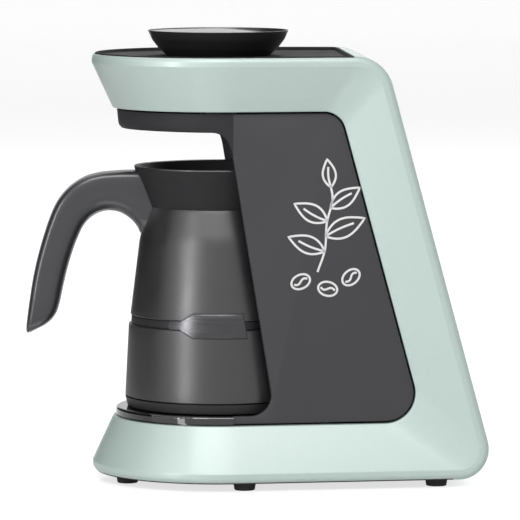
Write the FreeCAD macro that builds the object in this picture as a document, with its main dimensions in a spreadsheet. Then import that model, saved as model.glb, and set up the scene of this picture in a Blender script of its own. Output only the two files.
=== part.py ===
"""Electric turkish coffee maker: a C-shaped machine with a lift-off pot on a round stand.

Millimetres, +Z up, ground at z = 0. The handle points along -X and the back of the machine
along +X. Every piece is drawn about the axis of the pot and then placed at pot_axis_x.
"""
import FreeCAD, Part
import math
import os
import Sketcher

V = FreeCAD.Vector
doc = FreeCAD.newDocument("coffee_maker")
sheet = doc.addObject("Spreadsheet::Sheet", "Sizes")


class Size:
    """A number worked out from the sheet: its value, and the expression that gives it."""

    def __init__(self, value, text):
        self.value = value
        self.text = text

    def _with(self, other, sign, value):
        return Size(value, f"({self.text} {sign} {text_of(other)})")

    def __add__(self, other):
        return self._with(other, "+", self.value + value_of(other))

    def __sub__(self, other):
        return self._with(other, "-", self.value - value_of(other))

    def __mul__(self, other):
        return self._with(other, "*", self.value * value_of(other))

    def __truediv__(self, other):
        return self._with(other, "/", self.value / value_of(other))

    def __neg__(self):
        return Size(-self.value, f"(0 - {self.text})")

    def __radd__(self, other):
        return self + other

    def __rsub__(self, other):
        return -self + other

    def __rmul__(self, other):
        return self * other


def value_of(number):
    return number.value if isinstance(number, Size) else float(number)


def text_of(number):
    return number.text if isinstance(number, Size) else f"({number})"


def sin_of(angle):
    return Size(math.sin(math.radians(angle.value)), f"sin({angle.text} * 1 deg)")


def cos_of(angle):
    return Size(math.cos(math.radians(angle.value)), f"cos({angle.text} * 1 deg)")


def tan_of(angle):
    return Size(math.tan(math.radians(angle.value)), f"tan({angle.text} * 1 deg)")


# Driving dimensions: alias, value in mm or degrees, and what it measures
DIMENSIONS = [
    ("pot_axis_x", -18.7, "place of the pot's axis, which centres the whole outline"),
    ("fit", 0.3, "clearance where one piece drops into or stands in another"),
    ("plan_taper", 5.5, "degrees that each side draws in towards the back, seen from above"),
    ("back_slant", 15.2, "degrees that the back and the column lean"),
    ("foot_height", 4.2, "ground to the lower edge of the frame"),
    ("machine_top", 229.6, "ground to the rim round the deck"),
    ("back_reach", 85.0, "pot axis to the back, at the height of the rim"),
    ("flank_flare", 11.2, "edge of the frame's opening out to its widest line"),
    ("opening_gap", 2.3, "face of a side panel out to the edge of the frame's opening"),
    ("rim_band", 5.3, "upright band along the widest line of the frame"),
    ("flank_depth", 29.5, "outside of the frame to its opening"),
    ("frame_wall", 2.6, "wall of the frame"),
    ("ledge_wall", 1.8, "ledge under the edge of the deck and over the edge of the bottom plate"),
    ("flare_inset", 4.0, "wall of the frame behind its widest line"),
    ("shoulder_radius", 21.0, "upper back corner of the frame"),
    ("heel_radius", 16.0, "lower back corner of the frame"),
    ("panel_shoulder_radius", 12.0, "upper back corner of the opening"),
    ("panel_heel_radius", 16.0, "lower back corner of the opening"),
    ("rim_width", 1.6, "edge of the frame left round the deck and the bottom plate"),
    ("ledge_width", 2.8, "ledge that the deck and the bottom plate lie on"),
    ("plate_flange", 1.5, "thickness of the flange that lies on a ledge"),
    ("deck_drop", 0.8, "top of the deck below the rim"),
    ("deck_inset", 16.4, "back of the rim to the back edge of the deck"),
    ("plate_inset", 23.7, "back of the sole to the back edge of the bottom plate"),
    ("skirt_depth", 6.0, "skirt under the deck"),
    ("skirt_wall", 2.0, "wall of the deck and of its skirt"),
    ("panel_gap", 1.0, "dark joint between the frame and the side panels"),
    ("cheek_gap", 0.5, "hollow of the column out to the inside of a side panel"),
    ("panel_wall", 2.5, "thickness of a side panel"),
    ("flange_wall", 1.8, "hidden flange behind the frame's edge"),
    ("flange_lap", 5.0, "how far the flange reaches behind the frame's edge"),
    ("head_height", 11.0, "dark part of the head below the frame"),
    ("head_draft", 0.9, "how much the dark part of the head draws in downwards"),
    ("head_round", 3.2, "lower edge of the head"),
    ("head_seam", 12.0, "degrees in front of the side where the head meets a panel"),
    ("head_floor", 2.4, "floor of the head"),
    ("stand_height", 5.0, "stand above the frame"),
    ("wing_front", 2.9, "pot axis to the front edge of a panel, under the head"),
    ("wing_slant", 9.2, "degrees that the front edge of a panel leans"),
    ("wing_upper_radius", 14.5, "upper front corner of a panel"),
    ("wing_lower_radius", 11.0, "lower front corner of a panel"),
    ("bay_gap", 1.1, "pot to the hollow of the column behind it"),
    ("bay_wall", 2.0, "wall of the hollow"),
    ("stand_proud", 0.9, "round front of the stand in front of the head's"),
    ("stand_plate", 3.0, "top plate of the stand"),
    ("boss_radius", 13.0, "connector boss that the pot stands over"),
    ("boss_height", 10.5, "connector boss above the stand"),
    ("boss_flange_radius", 17.5, "flange of the connector under the stand"),
    ("boss_slot_inner", 4.6, "inside of the ring slot in the boss"),
    ("boss_slot_outer", 9.4, "outside of the ring slot in the boss"),
    ("pod_height", 11.8, "control pod above the rim"),
    ("pod_radius", 37.9, "lip of the control pod"),
    ("pod_foot_radius", 28.4, "foot of the control pod on the deck"),
    ("pod_lip", 1.1, "wall of the pod at its lip"),
    ("pod_turn_radius", 35.2, "pod where its side turns upright"),
    ("pod_turn_height", 6.0, "deck to where the pod's side turns upright"),
    ("pod_relief", 2.5, "hollow under the pod, over the deck screws"),
    ("pod_spigot_radius", 14.0, "spigot of the pod through the deck"),
    ("pod_floor", 2.1, "floor of the pod"),
    ("guide_radius", 7.0, "tube that guides the button's stem"),
    ("guide_length", 10.0, "guide tube below the pod's floor"),
    ("button_gap", 0.9, "gap round the button"),
    ("button_foot_inset", 3.6, "foot of the button inside the pod's turn"),
    ("button_foot_height", 1.3, "bevel at the foot of the button"),
    ("button_lift", 3.6, "pod's floor to the underside of the button"),
    ("button_drop", 0.5, "high side of the button below the lip"),
    ("button_tilt", 2.6, "degrees that the button's face dips towards the back"),
    ("button_travel", 1.5, "travel of the button"),
    ("stem_radius", 4.6, "stem of the button"),
    ("stem_length", 18.0, "stem below the button"),
    ("spring_radius", 9.0, "coil of the button's spring"),
    ("spring_wire", 0.4, "half the wire of the button's spring"),
    ("deck_screw_circle", 22.5, "pot axis to the screws under the pod"),
    ("sensor_radius", 8.0, "sensor window over the pot"),
    ("pot_height", 130.0, "stand to the rim of the pot"),
    ("pot_base_height", 5.2, "foot of the pot below its seam"),
    ("pot_low_radius", 50.4, "pot at its seam"),
    ("foot_draw", 1.2, "how much narrower the sole of the pot is than its seam"),
    ("band_draw", 2.0, "how much narrower the pot is under the groove than at its seam"),
    ("belly_draw", 0.9, "how much narrower the pot is over the groove than under it"),
    ("shoulder_draw", 5.3, "how much narrower the pot's shoulder is than its belly"),
    ("neck_draw", 5.0, "how much narrower the pot's neck is than its shoulder"),
    ("rim_flare", 8.2, "how much wider the pot's rim is than its neck"),
    ("band_low", 44.8, "stand to the lower edge of the groove"),
    ("band_height", 5.0, "groove round the pot"),
    ("groove_depth", 1.8, "depth of the groove"),
    ("shoulder_height", 91.5, "stand to the shoulder of the pot"),
    ("neck_height", 108.0, "stand to the neck"),
    ("pot_wall", 2.2, "wall of the pot's shell and collar"),
    ("liner_wall", 0.8, "wall of the steel liner"),
    ("liner_gap", 1.2, "space between the shell and the liner"),
    ("liner_floor", 19.0, "stand to the underside of the liner"),
    ("handle_width", 20.0, "handle seen from the front"),
    ("handle_round", 4.0, "rounding along the handle's edges"),
    ("handle_stretch", 68.0, "neck of the pot to the tip of the handle"),
    ("handle_lean", 22.4, "how far the handle's bend stands in from its tip"),
    ("handle_drop", 88.4, "top of the handle to its tip"),
    ("handle_arm", 21.9, "top of the handle to the roof of the finger gap"),
    ("handle_grip", 17.6, "grip at its tip"),
    ("handle_finger", 36.0, "neck of the pot to the inside of the handle"),
    ("handle_root", 44.0, "top of the handle to the foot of its root on the pot"),
    ("handle_top", 165.2, "ground to the top of the handle at the pot"),
    ("foot_radius", 5.4, "sole of a foot"),
    ("screw_radius", 1.6, "shank of a screw"),
    ("screw_head_radius", 3.2, "head of a screw"),
    ("post_radius", 4.2, "screw post"),
    ("board_thickness", 1.6, "circuit board"),
    ("board_standoff", 9.0, "column to the power board"),
    ("stud_radius", 2.4, "stud of a foot"),
    ("front_foot_inset", 18.0, "front of the base to the front feet"),
    ("front_foot_y", 24.0, "middle of the machine to the front feet"),
    ("middle_foot_x", 11.0, "pot axis to the middle feet"),
    ("middle_foot_inset", 12.0, "side of the base to the middle feet"),
    ("rear_foot_inset", 8.5, "back edge of the bottom plate to the rear feet"),
    ("rear_foot_draw", 11.0, "how much nearer the middle the rear feet are than the middle ones"),
    ("heater_inset", 10.4, "pot at its seam in to the heater plate"),
    ("element_inset", 13.0, "heater plate in to the loop of the heating element"),
    ("badge_height", 12.7, "plain plate on the band"),
    ("badge_angle", 32.0, "degrees that the plain plate spans"),
    ("badge_proud", 0.8, "plain plate's face in front of its back"),
    ("cord_hole_radius", 3.7, "bore of the cord gland"),
    ("gland_radius", 6.4, "barrel of the cord gland"),
    ("gland_height", 20.5, "ground to the axis of the cord gland"),
]
for row, (alias, value, note) in enumerate(DIMENSIONS, start=1):
    sheet.set(f"A{row}", alias)
    sheet.set(f"B{row}", str(value))
    sheet.set(f"C{row}", note)
    sheet.setAlias(f"B{row}", alias)
doc.recompute()
D = {alias: Size(float(sheet.get(alias)), f"Sizes.{alias}") for alias, _, _ in DIMENSIONS}

# Sizes that follow from others, so that what fits together keeps together
D["pot_foot_radius"] = D["pot_low_radius"] - D["foot_draw"]
D["pot_band_radius"] = D["pot_low_radius"] - D["band_draw"]
D["pot_belly_radius"] = D["pot_band_radius"] - D["belly_draw"]
D["pot_shoulder_radius"] = D["pot_belly_radius"] - D["shoulder_draw"]
D["neck_radius"] = D["pot_shoulder_radius"] - D["neck_draw"]
D["rim_radius"] = D["neck_radius"] + D["rim_flare"]
D["heater_radius"] = D["pot_low_radius"] - D["heater_inset"]
D["element_radius"] = D["heater_radius"] - D["element_inset"]
D["handle_reach"] = D["neck_radius"] + D["handle_stretch"]
D["bay_radius"] = D["pot_low_radius"] + D["bay_gap"]
D["panel_face"] = D["bay_radius"] + D["cheek_gap"] + D["panel_wall"]
D["stand_radius"] = D["panel_face"] + D["stand_proud"]
D["inner_reach"] = D["panel_face"] + D["opening_gap"]
D["outer_reach"] = D["inner_reach"] + D["flank_flare"]
D["deck_end"] = D["back_reach"] - D["deck_inset"]
D["front_foot_x"] = D["front_foot_inset"] - D["outer_reach"]
D["middle_foot_y"] = D["outer_reach"] - D["middle_foot_inset"]
D["rear_foot_y"] = D["middle_foot_y"] - D["rear_foot_draw"]

# Heights and slopes that several pieces share
RIM = D["machine_top"]
SOLE = D["foot_height"]
HEAD_EDGE = RIM - D["flank_depth"]
BASE_EDGE = SOLE + D["flank_depth"]
HEAD_UNDER = HEAD_EDGE - D["head_height"]
STAND_TOP = BASE_EDGE + D["stand_height"]
DECK_TOP = RIM - D["deck_drop"]
POT_SOLE = STAND_TOP + D["fit"]
SIN_TAPER = sin_of(D["plan_taper"])
COS_TAPER = cos_of(D["plan_taper"])
TAN_SLANT = tan_of(D["back_slant"])
COS_SLANT = cos_of(D["back_slant"])
D["plate_end"] = D["back_reach"] + (RIM - SOLE) * TAN_SLANT - D["plate_inset"]
D["rear_foot_x"] = D["plate_end"] - D["rear_foot_inset"]
RAIL = D["panel_face"] - D["panel_wall"]
FLANGE_IN = RAIL - D["flange_wall"]
cuts = []


def bind(thing, prop, size):
    """Sets a property and ties it to the sheet."""
    if isinstance(size, Size):
        thing.setExpression(prop, size.text)


def new_body(label):
    body = doc.addObject("PartDesign::Body", label)
    body.Label = label
    bind(body, "Placement.Base.x", D["pot_axis_x"])
    return body


def origin_plane(body, role):
    return next(item for item in body.Origin.OriginFeatures if item.Role == role)


def new_sketch(body, name, role="XZ_Plane", height=None):
    sketch = body.newObject("Sketcher::SketchObject", name)
    sketch.AttachmentSupport = [(origin_plane(body, role), "")]
    sketch.MapMode = "FlatFace"
    if height is not None:
        sketch.AttachmentOffset = FreeCAD.Placement(V(0, 0, value_of(height)), FreeCAD.Rotation())
        bind(sketch, "AttachmentOffset.Base.z", height)
    return sketch


def side_sketch(body, name, reach, side):
    """A sketch on the upright plane that touches the circle of radius reach about the pot axis
    where the tapered side leaves it. side is -1 for the near side and +1 for the far side."""
    sketch = new_sketch(body, name)
    turn = FreeCAD.Rotation(V(0, -side, 0), D["plan_taper"].value)
    shift = V((reach * SIN_TAPER).value, 0, -side * (reach * COS_TAPER).value)
    sketch.AttachmentOffset = FreeCAD.Placement(shift, turn)
    bind(sketch, "AttachmentOffset.Base.x", reach * SIN_TAPER)
    bind(sketch, "AttachmentOffset.Base.z", reach * COS_TAPER * (-side))
    bind(sketch, "AttachmentOffset.Rotation.Angle", D["plan_taper"])
    return sketch


def along_side(x, reach):
    """Distance along a tapered side plane at which it stands x behind the pot axis."""
    return (x - reach * SIN_TAPER) / COS_TAPER


def measure(sketch, kind, target, size):
    """Adds a dimension to a sketch and ties it to the sheet."""
    index = sketch.addConstraint(Sketcher.Constraint(kind, *target, value_of(size)))
    bind(sketch, f"Constraints[{index}]", size)


def pin(sketch, geometry, point, x, y):
    measure(sketch, "DistanceX", (-1, 1, geometry, point), x)
    measure(sketch, "DistanceY", (-1, 1, geometry, point), y)


def draw_outline(sketch, corners):
    """A closed outline through corners (x, y) or (x, y, radius), each rounded corner by an arc."""
    count = len(corners)
    places = [V(value_of(c[0]), value_of(c[1]), 0) for c in corners]
    starts, ends = [], []
    for i, corner in enumerate(corners):
        before = (places[i - 1] - places[i]).normalize()
        after = (places[(i + 1) % count] - places[i]).normalize()
        cut = 0.0
        if len(corner) == 3:
            half = before.getAngle(after) / 2
            cut = value_of(corner[2]) / math.tan(half)
        starts.append(places[i] + before * cut)
        ends.append(places[i] + after * cut)
    lines = []
    for i in range(count):
        line = Part.LineSegment(ends[i], starts[(i + 1) % count])
        lines.append(sketch.addGeometry(line, False))
    for i, corner in enumerate(corners):
        arrive, leave = lines[i - 1], lines[i]
        if len(corner) == 2:
            sketch.addConstraint(Sketcher.Constraint("Coincident", arrive, 2, leave, 1))
            pin(sketch, leave, 1, corner[0], corner[1])
            continue
        before = (places[i - 1] - places[i]).normalize()
        after = (places[(i + 1) % count] - places[i]).normalize()
        half = before.getAngle(after) / 2
        radius = value_of(corner[2])
        centre = places[i] + (before + after).normalize() * (radius / math.sin(half))
        middle = centre - (before + after).normalize() * radius
        arc = sketch.addGeometry(Part.Arc(starts[i], middle, ends[i]), False)
        turns_left = (before.x * after.y - before.y * after.x) < 0
        first, last = (1, 2) if turns_left else (2, 1)
        point = sketch.addGeometry(Part.Point(places[i]), True)
        sketch.addConstraint(Sketcher.Constraint("Tangent", arrive, 2, arc, first))
        sketch.addConstraint(Sketcher.Constraint("Tangent", leave, 1, arc, last))
        sketch.addConstraint(Sketcher.Constraint("PointOnObject", point, 1, arrive))
        sketch.addConstraint(Sketcher.Constraint("PointOnObject", point, 1, leave))
        pin(sketch, point, 1, corner[0], corner[1])
        measure(sketch, "Radius", (arc,), corner[2])


def draw_circle(sketch, radius, x=0, y=0):
    circle = Part.Circle(V(value_of(x), value_of(y), 0), V(0, 0, 1), value_of(radius))
    index = sketch.addGeometry(circle, False)
    measure(sketch, "Radius", (index,), radius)
    pin(sketch, index, 3, x, y)


def draw_box(sketch, x_low, x_high, y_low, y_high):
    draw_outline(sketch, [(x_low, y_low), (x_high, y_low), (x_high, y_high), (x_low, y_high)])


def draw_tongue(sketch, reach, x_end):
    """The plan of the machine at one reach: round about the pot axis in front, and two sides
    that draw in towards a straight back edge at x_end."""
    taper = math.radians(D["plan_taper"].value)
    radius = value_of(reach)
    touch = V(radius * math.sin(taper), radius * math.cos(taper), 0)
    half = (reach - x_end * SIN_TAPER) / COS_TAPER
    back = V(value_of(x_end), half.value, 0)
    mirror = V(1, -1, 1)
    low_touch = V(touch.x, touch.y * mirror.y, 0)
    low_back = V(back.x, back.y * mirror.y, 0)
    arc = sketch.addGeometry(Part.Arc(touch, V(-radius, 0, 0), low_touch), False)
    low = sketch.addGeometry(Part.LineSegment(low_touch, low_back), False)
    end = sketch.addGeometry(Part.LineSegment(low_back, back), False)
    high = sketch.addGeometry(Part.LineSegment(back, touch), False)
    sketch.addConstraint(Sketcher.Constraint("Coincident", arc, 3, -1, 1))
    measure(sketch, "Radius", (arc,), reach)
    sketch.addConstraint(Sketcher.Constraint("Tangent", arc, 2, low, 1))
    sketch.addConstraint(Sketcher.Constraint("Tangent", arc, 1, high, 2))
    sketch.addConstraint(Sketcher.Constraint("Coincident", low, 2, end, 1))
    sketch.addConstraint(Sketcher.Constraint("Coincident", end, 2, high, 1))
    pin(sketch, end, 1, x_end, -half)
    pin(sketch, end, 2, x_end, half)


def pad(body, sketch, length, name, midplane=False, reverse=False):
    feature = body.newObject("PartDesign::Pad", name)
    feature.Profile = sketch
    feature.Length = value_of(length)
    bind(feature, "Length", length)
    feature.SideType = "Symmetric" if midplane else "One side"
    feature.Reversed = reverse
    return feature


def pocket(body, sketch, length, name, midplane=False, reverse=False):
    feature = body.newObject("PartDesign::Pocket", name)
    feature.Profile = sketch
    feature.Length = value_of(length)
    bind(feature, "Length", length)
    feature.SideType = "Symmetric" if midplane else "One side"
    feature.Reversed = reverse
    cuts.append(feature)
    return feature


def add_layer(body, name, draw, low, high):
    """Pads what draw puts in a level sketch, from the height low to the height high."""
    sketch = new_sketch(body, name + "_sketch", "XY_Plane", low)
    draw(sketch)
    return pad(body, sketch, high - low, name)


def cut_layer(body, name, draw, low, high):
    """Cuts what draw puts in a level sketch, from the height high down to the height low."""
    sketch = new_sketch(body, name + "_sketch", "XY_Plane", high)
    draw(sketch)
    return pocket(body, sketch, high - low, name)


def turn_profile(body, name, corners, angle=360.0, kind="PartDesign::Revolution"):
    """Revolves an outline drawn in the upright plane through the pot axis about that axis."""
    sketch = new_sketch(body, name + "_sketch")
    draw_outline(sketch, corners)
    feature = body.newObject(kind, name)
    feature.Profile = sketch
    feature.ReferenceAxis = (sketch, ["V_Axis"])
    feature.Angle = value_of(angle)
    bind(feature, "Angle", angle)
    feature.Midplane = True
    if kind == "PartDesign::Groove":
        cuts.append(feature)
    return feature


def loft_through(body, name, sketches, kind="PartDesign::AdditiveLoft"):
    feature = body.newObject(kind, name)
    feature.Profile = sketches[0]
    feature.Sections = sketches[1:]
    feature.Ruled = True
    if kind == "PartDesign::SubtractiveLoft":
        cuts.append(feature)
    return feature


def back_line(height, depth):
    """How far behind the pot axis the frame's back stands, at a height and a depth inside it."""
    return D["back_reach"] + (RIM - height) * TAN_SLANT - depth / COS_SLANT


def wing_line(height):
    """How far behind the pot axis a panel's front edge stands at a height."""
    return D["wing_front"] + (HEAD_UNDER - height) * tan_of(D["wing_slant"])


def frame_corners(outside, inside, outer_radii, inner_radii, reach=None, lid=None, floor=None):
    """The side view of the C, from the depth outside to the depth inside its outer face. The
    depths of its top and bottom lines can be given apart, as lid and floor."""
    def place(height, depth):
        x = back_line(height, depth)
        return x if reach is None else along_side(x, reach)

    top = RIM - (outside if lid is None else lid)
    bottom = SOLE + (outside if floor is None else floor)
    under, over = RIM - inside, SOLE + inside
    front = 0 * SIN_TAPER
    return [
        (front, top),
        (place(top, outside), top, outer_radii[0]),
        (place(bottom, outside), bottom, outer_radii[1]),
        (front, bottom),
        (front, over),
        (place(over, inside), over, inner_radii[0]),
        (place(under, inside), under, inner_radii[1]),
        (front, under),
    ]


NONE = 0 * SIN_TAPER
FLANGE_PAST = 4
FRONT_TURN = 2 * D["plan_taper"] + 180
OUTER_RADII = (D["shoulder_radius"], D["heel_radius"])
OPENING_RADII = (D["panel_heel_radius"], D["panel_shoulder_radius"])
BAND_RADII = (D["heel_radius"] - D["rim_band"], D["shoulder_radius"] - D["rim_band"])
VOID_RADII = (D["shoulder_radius"] - D["frame_wall"], D["heel_radius"] - D["frame_wall"])
RECESS = D["outer_reach"] - D["rim_width"]
OPENING = RECESS - D["ledge_width"]
TRAY = FLANGE_IN - D["fit"]
TRAY_END = D["bay_radius"] + D["bay_wall"] + 3
POD_FLOOR_TOP = DECK_TOP + D["pod_relief"] + D["pod_floor"]
POD_LIP = RIM + D["pod_height"]
BUTTON_UNDER = POD_FLOOR_TOP + D["button_lift"]
SWITCH_TOP = BUTTON_UNDER - D["stem_length"] - D["button_travel"] - 0.2
SWITCH_HEIGHT = 4.1
BOARD_TOP = SWITCH_TOP - SWITCH_HEIGHT
BOARD_UNDER = BOARD_TOP - D["board_thickness"]
DECK_UNDER = DECK_TOP - D["skirt_wall"]


def make_outer_frame():
    """The light shell: head, leaning back and base in one moulding, hollow and open inwards."""
    body = new_body("outer_frame")
    flank, band, wall = D["flank_depth"], D["rim_band"], D["frame_wall"]
    outer, inner = D["outer_reach"], D["inner_reach"]

    def section(name, reach, side, outside, inside, outer_radii, inner_radii):
        if side:
            sketch = side_sketch(body, name, reach, side)
        else:
            sketch = new_sketch(body, name)
        plane = reach if side else None
        draw_outline(sketch, frame_corners(outside, inside, outer_radii, inner_radii, plane))
        return sketch

    skin = [
        section("near_band", outer, -1, NONE, band, OUTER_RADII, BAND_RADII),
        section("near_edge", inner, -1, NONE, flank, OUTER_RADII, OPENING_RADII),
        section("middle", inner, 0, NONE, flank, OUTER_RADII, OPENING_RADII),
        section("far_edge", inner, 1, NONE, flank, OUTER_RADII, OPENING_RADII),
        section("far_band", outer, 1, NONE, band, OUTER_RADII, BAND_RADII),
    ]
    loft_through(body, "skin", skin)
    turn_profile(body, "head_nose", [
        (NONE, HEAD_EDGE), (NONE, RIM), (-outer, RIM), (-outer, RIM - band), (-inner, HEAD_EDGE),
    ], FRONT_TURN)
    turn_profile(body, "base_nose", [
        (NONE, SOLE), (-outer, SOLE), (-outer, SOLE + band), (-inner, BASE_EDGE), (NONE, BASE_EDGE),
    ], FRONT_TURN)

    past = flank + FLANGE_PAST
    lip = flank - wall
    rail = RAIL + D["fit"]
    flare_reach = outer - D["flare_inset"]
    slope = (flank - band) / (outer - inner)
    flare_depth = band + D["flare_inset"] * slope - wall
    lid = D["deck_drop"] + D["plate_flange"] + D["ledge_wall"]
    floor = D["plate_flange"] + D["ledge_wall"]

    def hollow(name, reach, side, inside):
        sketch = side_sketch(body, name, reach, side) if side else new_sketch(body, name)
        draw_outline(sketch, frame_corners(wall, inside, VOID_RADII, OPENING_RADII,
                                           reach if side else None, lid, floor))
        return sketch

    core = [hollow("core_near", rail, -1, past), hollow("core_middle", rail, 0, past),
            hollow("core_far", rail, 1, past)]
    loft_through(body, "core_hollow", core, "PartDesign::SubtractiveLoft")
    for side, word in ((-1, "near"), (1, "far")):
        flare = [hollow(f"{word}_flare_in", rail, side, lip),
                 hollow(f"{word}_flare_out", flare_reach, side, flare_depth)]
        loft_through(body, f"{word}_flare_hollow", flare, "PartDesign::SubtractiveLoft")
    turn_profile(body, "head_hollow", [
        (NONE, RIM - past), (NONE, RIM - lid), (-flare_reach, RIM - lid),
        (-flare_reach, RIM - flare_depth), (-rail, RIM - lip), (-rail, RIM - past),
    ], FRONT_TURN, "PartDesign::Groove")
    turn_profile(body, "base_hollow", [
        (NONE, SOLE + floor), (-flare_reach, SOLE + floor), (-flare_reach, SOLE + flare_depth),
        (-rail, SOLE + lip), (-rail, SOLE + past), (NONE, SOLE + past),
    ], FRONT_TURN, "PartDesign::Groove")

    recess = outer - D["rim_width"]
    opening = recess - D["ledge_width"]
    step = D["plate_flange"]
    cut_layer(body, "deck_opening",
              lambda s: draw_tongue(s, opening, D["deck_end"] - D["ledge_width"]),
              RIM - lid - 1, RIM + 1)
    cut_layer(body, "deck_recess", lambda s: draw_tongue(s, recess, D["deck_end"]),
              DECK_TOP - step, RIM + 1)
    cut_layer(body, "plate_opening",
              lambda s: draw_tongue(s, opening, D["plate_end"] - D["ledge_width"]),
              SOLE - 1, SOLE + floor + 1)
    cut_layer(body, "plate_recess", lambda s: draw_tongue(s, recess, D["plate_end"]),
              SOLE - 1, SOLE + step)
    hole = new_sketch(body, "gland_hole_sketch", "YZ_Plane", D["plate_end"])
    draw_circle(hole, D["gland_radius"] + D["fit"], 0, D["gland_height"])
    pocket(body, hole, 40, "gland_hole", reverse=True)


def panel_outline(reach, edge):
    """The side view of a panel: the C of the opening behind, the leaning wing edge in front."""
    top, bottom = RIM - edge, SOLE + edge
    gap = D["panel_gap"]
    tip = -reach * tan_of(D["head_seam"])
    return [
        (tip, top),
        (along_side(back_line(top, edge), reach), top, D["panel_shoulder_radius"] - gap),
        (along_side(back_line(bottom, edge), reach), bottom, D["panel_heel_radius"] - gap),
        (NONE, bottom),
        (NONE, STAND_TOP),
        (along_side(wing_line(STAND_TOP), reach), STAND_TOP, D["wing_lower_radius"]),
        (along_side(wing_line(HEAD_UNDER), reach), HEAD_UNDER, D["wing_upper_radius"]),
        (tip, HEAD_UNDER),
    ]


def make_side_panel(label, side):
    """A flat dark panel: a C-shaped plate with a hidden flange behind the frame's edge."""
    body = new_body(label)
    flank, gap = D["flank_depth"], D["panel_gap"]
    face, rail = D["panel_face"], RAIL
    edge = flank + gap
    plate = side_sketch(body, "plate_sketch", rail, side)
    draw_outline(plate, panel_outline(rail, edge))
    pad(body, plate, face - rail, "plate", reverse=side > 0)
    turn_profile(body, "round_end", [
        (-face, HEAD_UNDER - 20), (-face, HEAD_EDGE), (-face - 3, HEAD_EDGE),
        (-face - 3, HEAD_UNDER - 20),
    ], FRONT_TURN - 1, "PartDesign::Groove")
    lap = flank - D["flange_lap"]
    flange = side_sketch(body, "flange_sketch", FLANGE_IN, side)
    draw_outline(flange, frame_corners(lap, flank + D["stand_height"], OPENING_RADII[::-1],
                                       OPENING_RADII, FLANGE_IN))
    pad(body, flange, D["flange_wall"], "flange", reverse=side > 0)


def ring_places(count, radius, start):
    """Places of count like things spaced evenly on a circle about the pot axis."""
    turns = [math.radians(start + 360 * i / count) for i in range(count)]
    return [(radius * math.cos(turn), radius * math.sin(turn)) for turn in turns]


def draw_circles(sketch, radius, places):
    for x, y in places:
        draw_circle(sketch, radius, x, y)


DECK_SCREWS = ring_places(3, D["deck_screw_circle"], 90)
BASE_SCREWS = [(x * D["inner_reach"], side * 0.55 * D["inner_reach"])
               for x in (-0.52, 0.66) for side in (-1, 1)]


def make_top_deck():
    """The matt plate in the top of the head, on the frame's ledge, with a skirt below it."""
    body = new_body("top_deck")
    fit, wall = D["fit"], D["skirt_wall"]
    end = D["deck_end"]
    skirt_end = end - D["ledge_width"] - fit
    foot = DECK_TOP - D["skirt_depth"]
    add_layer(body, "flange", lambda s: draw_tongue(s, RECESS - fit, end - fit),
              DECK_TOP - D["plate_flange"], DECK_TOP)
    add_layer(body, "skirt", lambda s: draw_tongue(s, OPENING - fit, skirt_end),
              foot, DECK_TOP - D["plate_flange"])
    cut_layer(body, "hollow", lambda s: draw_tongue(s, OPENING - fit - wall, skirt_end - wall),
              foot - 1, DECK_UNDER)
    cut_layer(body, "pod_hole", lambda s: draw_circle(s, D["pod_spigot_radius"] + fit),
              DECK_UNDER - 1, DECK_TOP + 1)
    cut_layer(body, "screw_holes",
              lambda s: draw_circles(s, D["screw_radius"] + fit, DECK_SCREWS),
              DECK_UNDER - 1, DECK_TOP + 1)


def make_head_housing():
    """The dark underside of the head: a tray whose round front closes the head over the pot."""
    body = new_body("head_housing")
    face = D["panel_face"]
    floor = HEAD_UNDER + D["head_floor"]
    brim = HEAD_EDGE - D["panel_gap"]
    collar = HEAD_EDGE + D["flange_lap"]
    wall = D["flange_wall"]
    add_layer(body, "floor", lambda s: draw_tongue(s, RAIL, TRAY_END), HEAD_UNDER, floor)
    turn_profile(body, "front_wall", [
        (-(TRAY - wall), HEAD_UNDER), (-(face - D["head_draft"]), HEAD_UNDER, D["head_round"]),
        (-face, brim), (-(RAIL - D["fit"]), brim), (-(RAIL - D["fit"]), collar),
        (-(TRAY - wall), collar),
    ], FRONT_TURN - 2 * D["head_seam"])
    add_layer(body, "side_walls", lambda s: draw_tongue(s, TRAY, TRAY_END), floor, collar)
    cut_layer(body, "tray_hollow", lambda s: draw_tongue(s, TRAY - wall, TRAY_END - wall),
              floor, collar + 1)
    add_layer(body, "deck_posts",
              lambda s: draw_circles(s, D["post_radius"], DECK_SCREWS), floor, DECK_UNDER)
    add_layer(body, "board_posts", lambda s: draw_circles(s, 2, BOARD_POSTS),
              floor, BOARD_UNDER)
    cut_layer(body, "post_holes", lambda s: draw_circles(s, D["screw_radius"], DECK_SCREWS),
              DECK_UNDER - 12, DECK_UNDER + 1)
    cut_layer(body, "sensor_hole", lambda s: draw_circle(s, D["sensor_radius"] + D["fit"]),
              HEAD_UNDER - 1, floor + 1)


BOARD_POSTS = [(-11, -8), (-11, 8), (11, -8), (11, 8)]


def make_control_pod():
    """The bowl on the deck that carries the start button."""
    body = new_body("control_pod")
    lip = D["pod_lip"]
    under = DECK_TOP + D["pod_relief"]
    turn_height = DECK_TOP + D["pod_turn_height"]
    bore = D["stem_radius"] + D["fit"]
    guide = D["guide_radius"]
    spigot = D["pod_spigot_radius"]
    spigot_foot = DECK_TOP - 4.5
    guide_foot = POD_FLOOR_TOP - D["guide_length"]
    turn_profile(body, "bowl", [
        (bore, POD_FLOOR_TOP), (bore, guide_foot), (guide, guide_foot), (guide, under),
        (spigot - 2, under), (spigot - 2, spigot_foot), (spigot, spigot_foot), (spigot, under),
        (D["pod_foot_radius"] - 2.2, under), (D["pod_foot_radius"] - 2.2, DECK_TOP),
        (D["pod_foot_radius"], DECK_TOP), (D["pod_turn_radius"], turn_height, 14),
        (D["pod_radius"], POD_LIP), (D["pod_radius"] - lip, POD_LIP),
        (D["pod_turn_radius"] - lip, turn_height + 1.5, 4),
        (D["pod_foot_radius"] + 2, POD_FLOOR_TOP),
    ])


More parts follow.
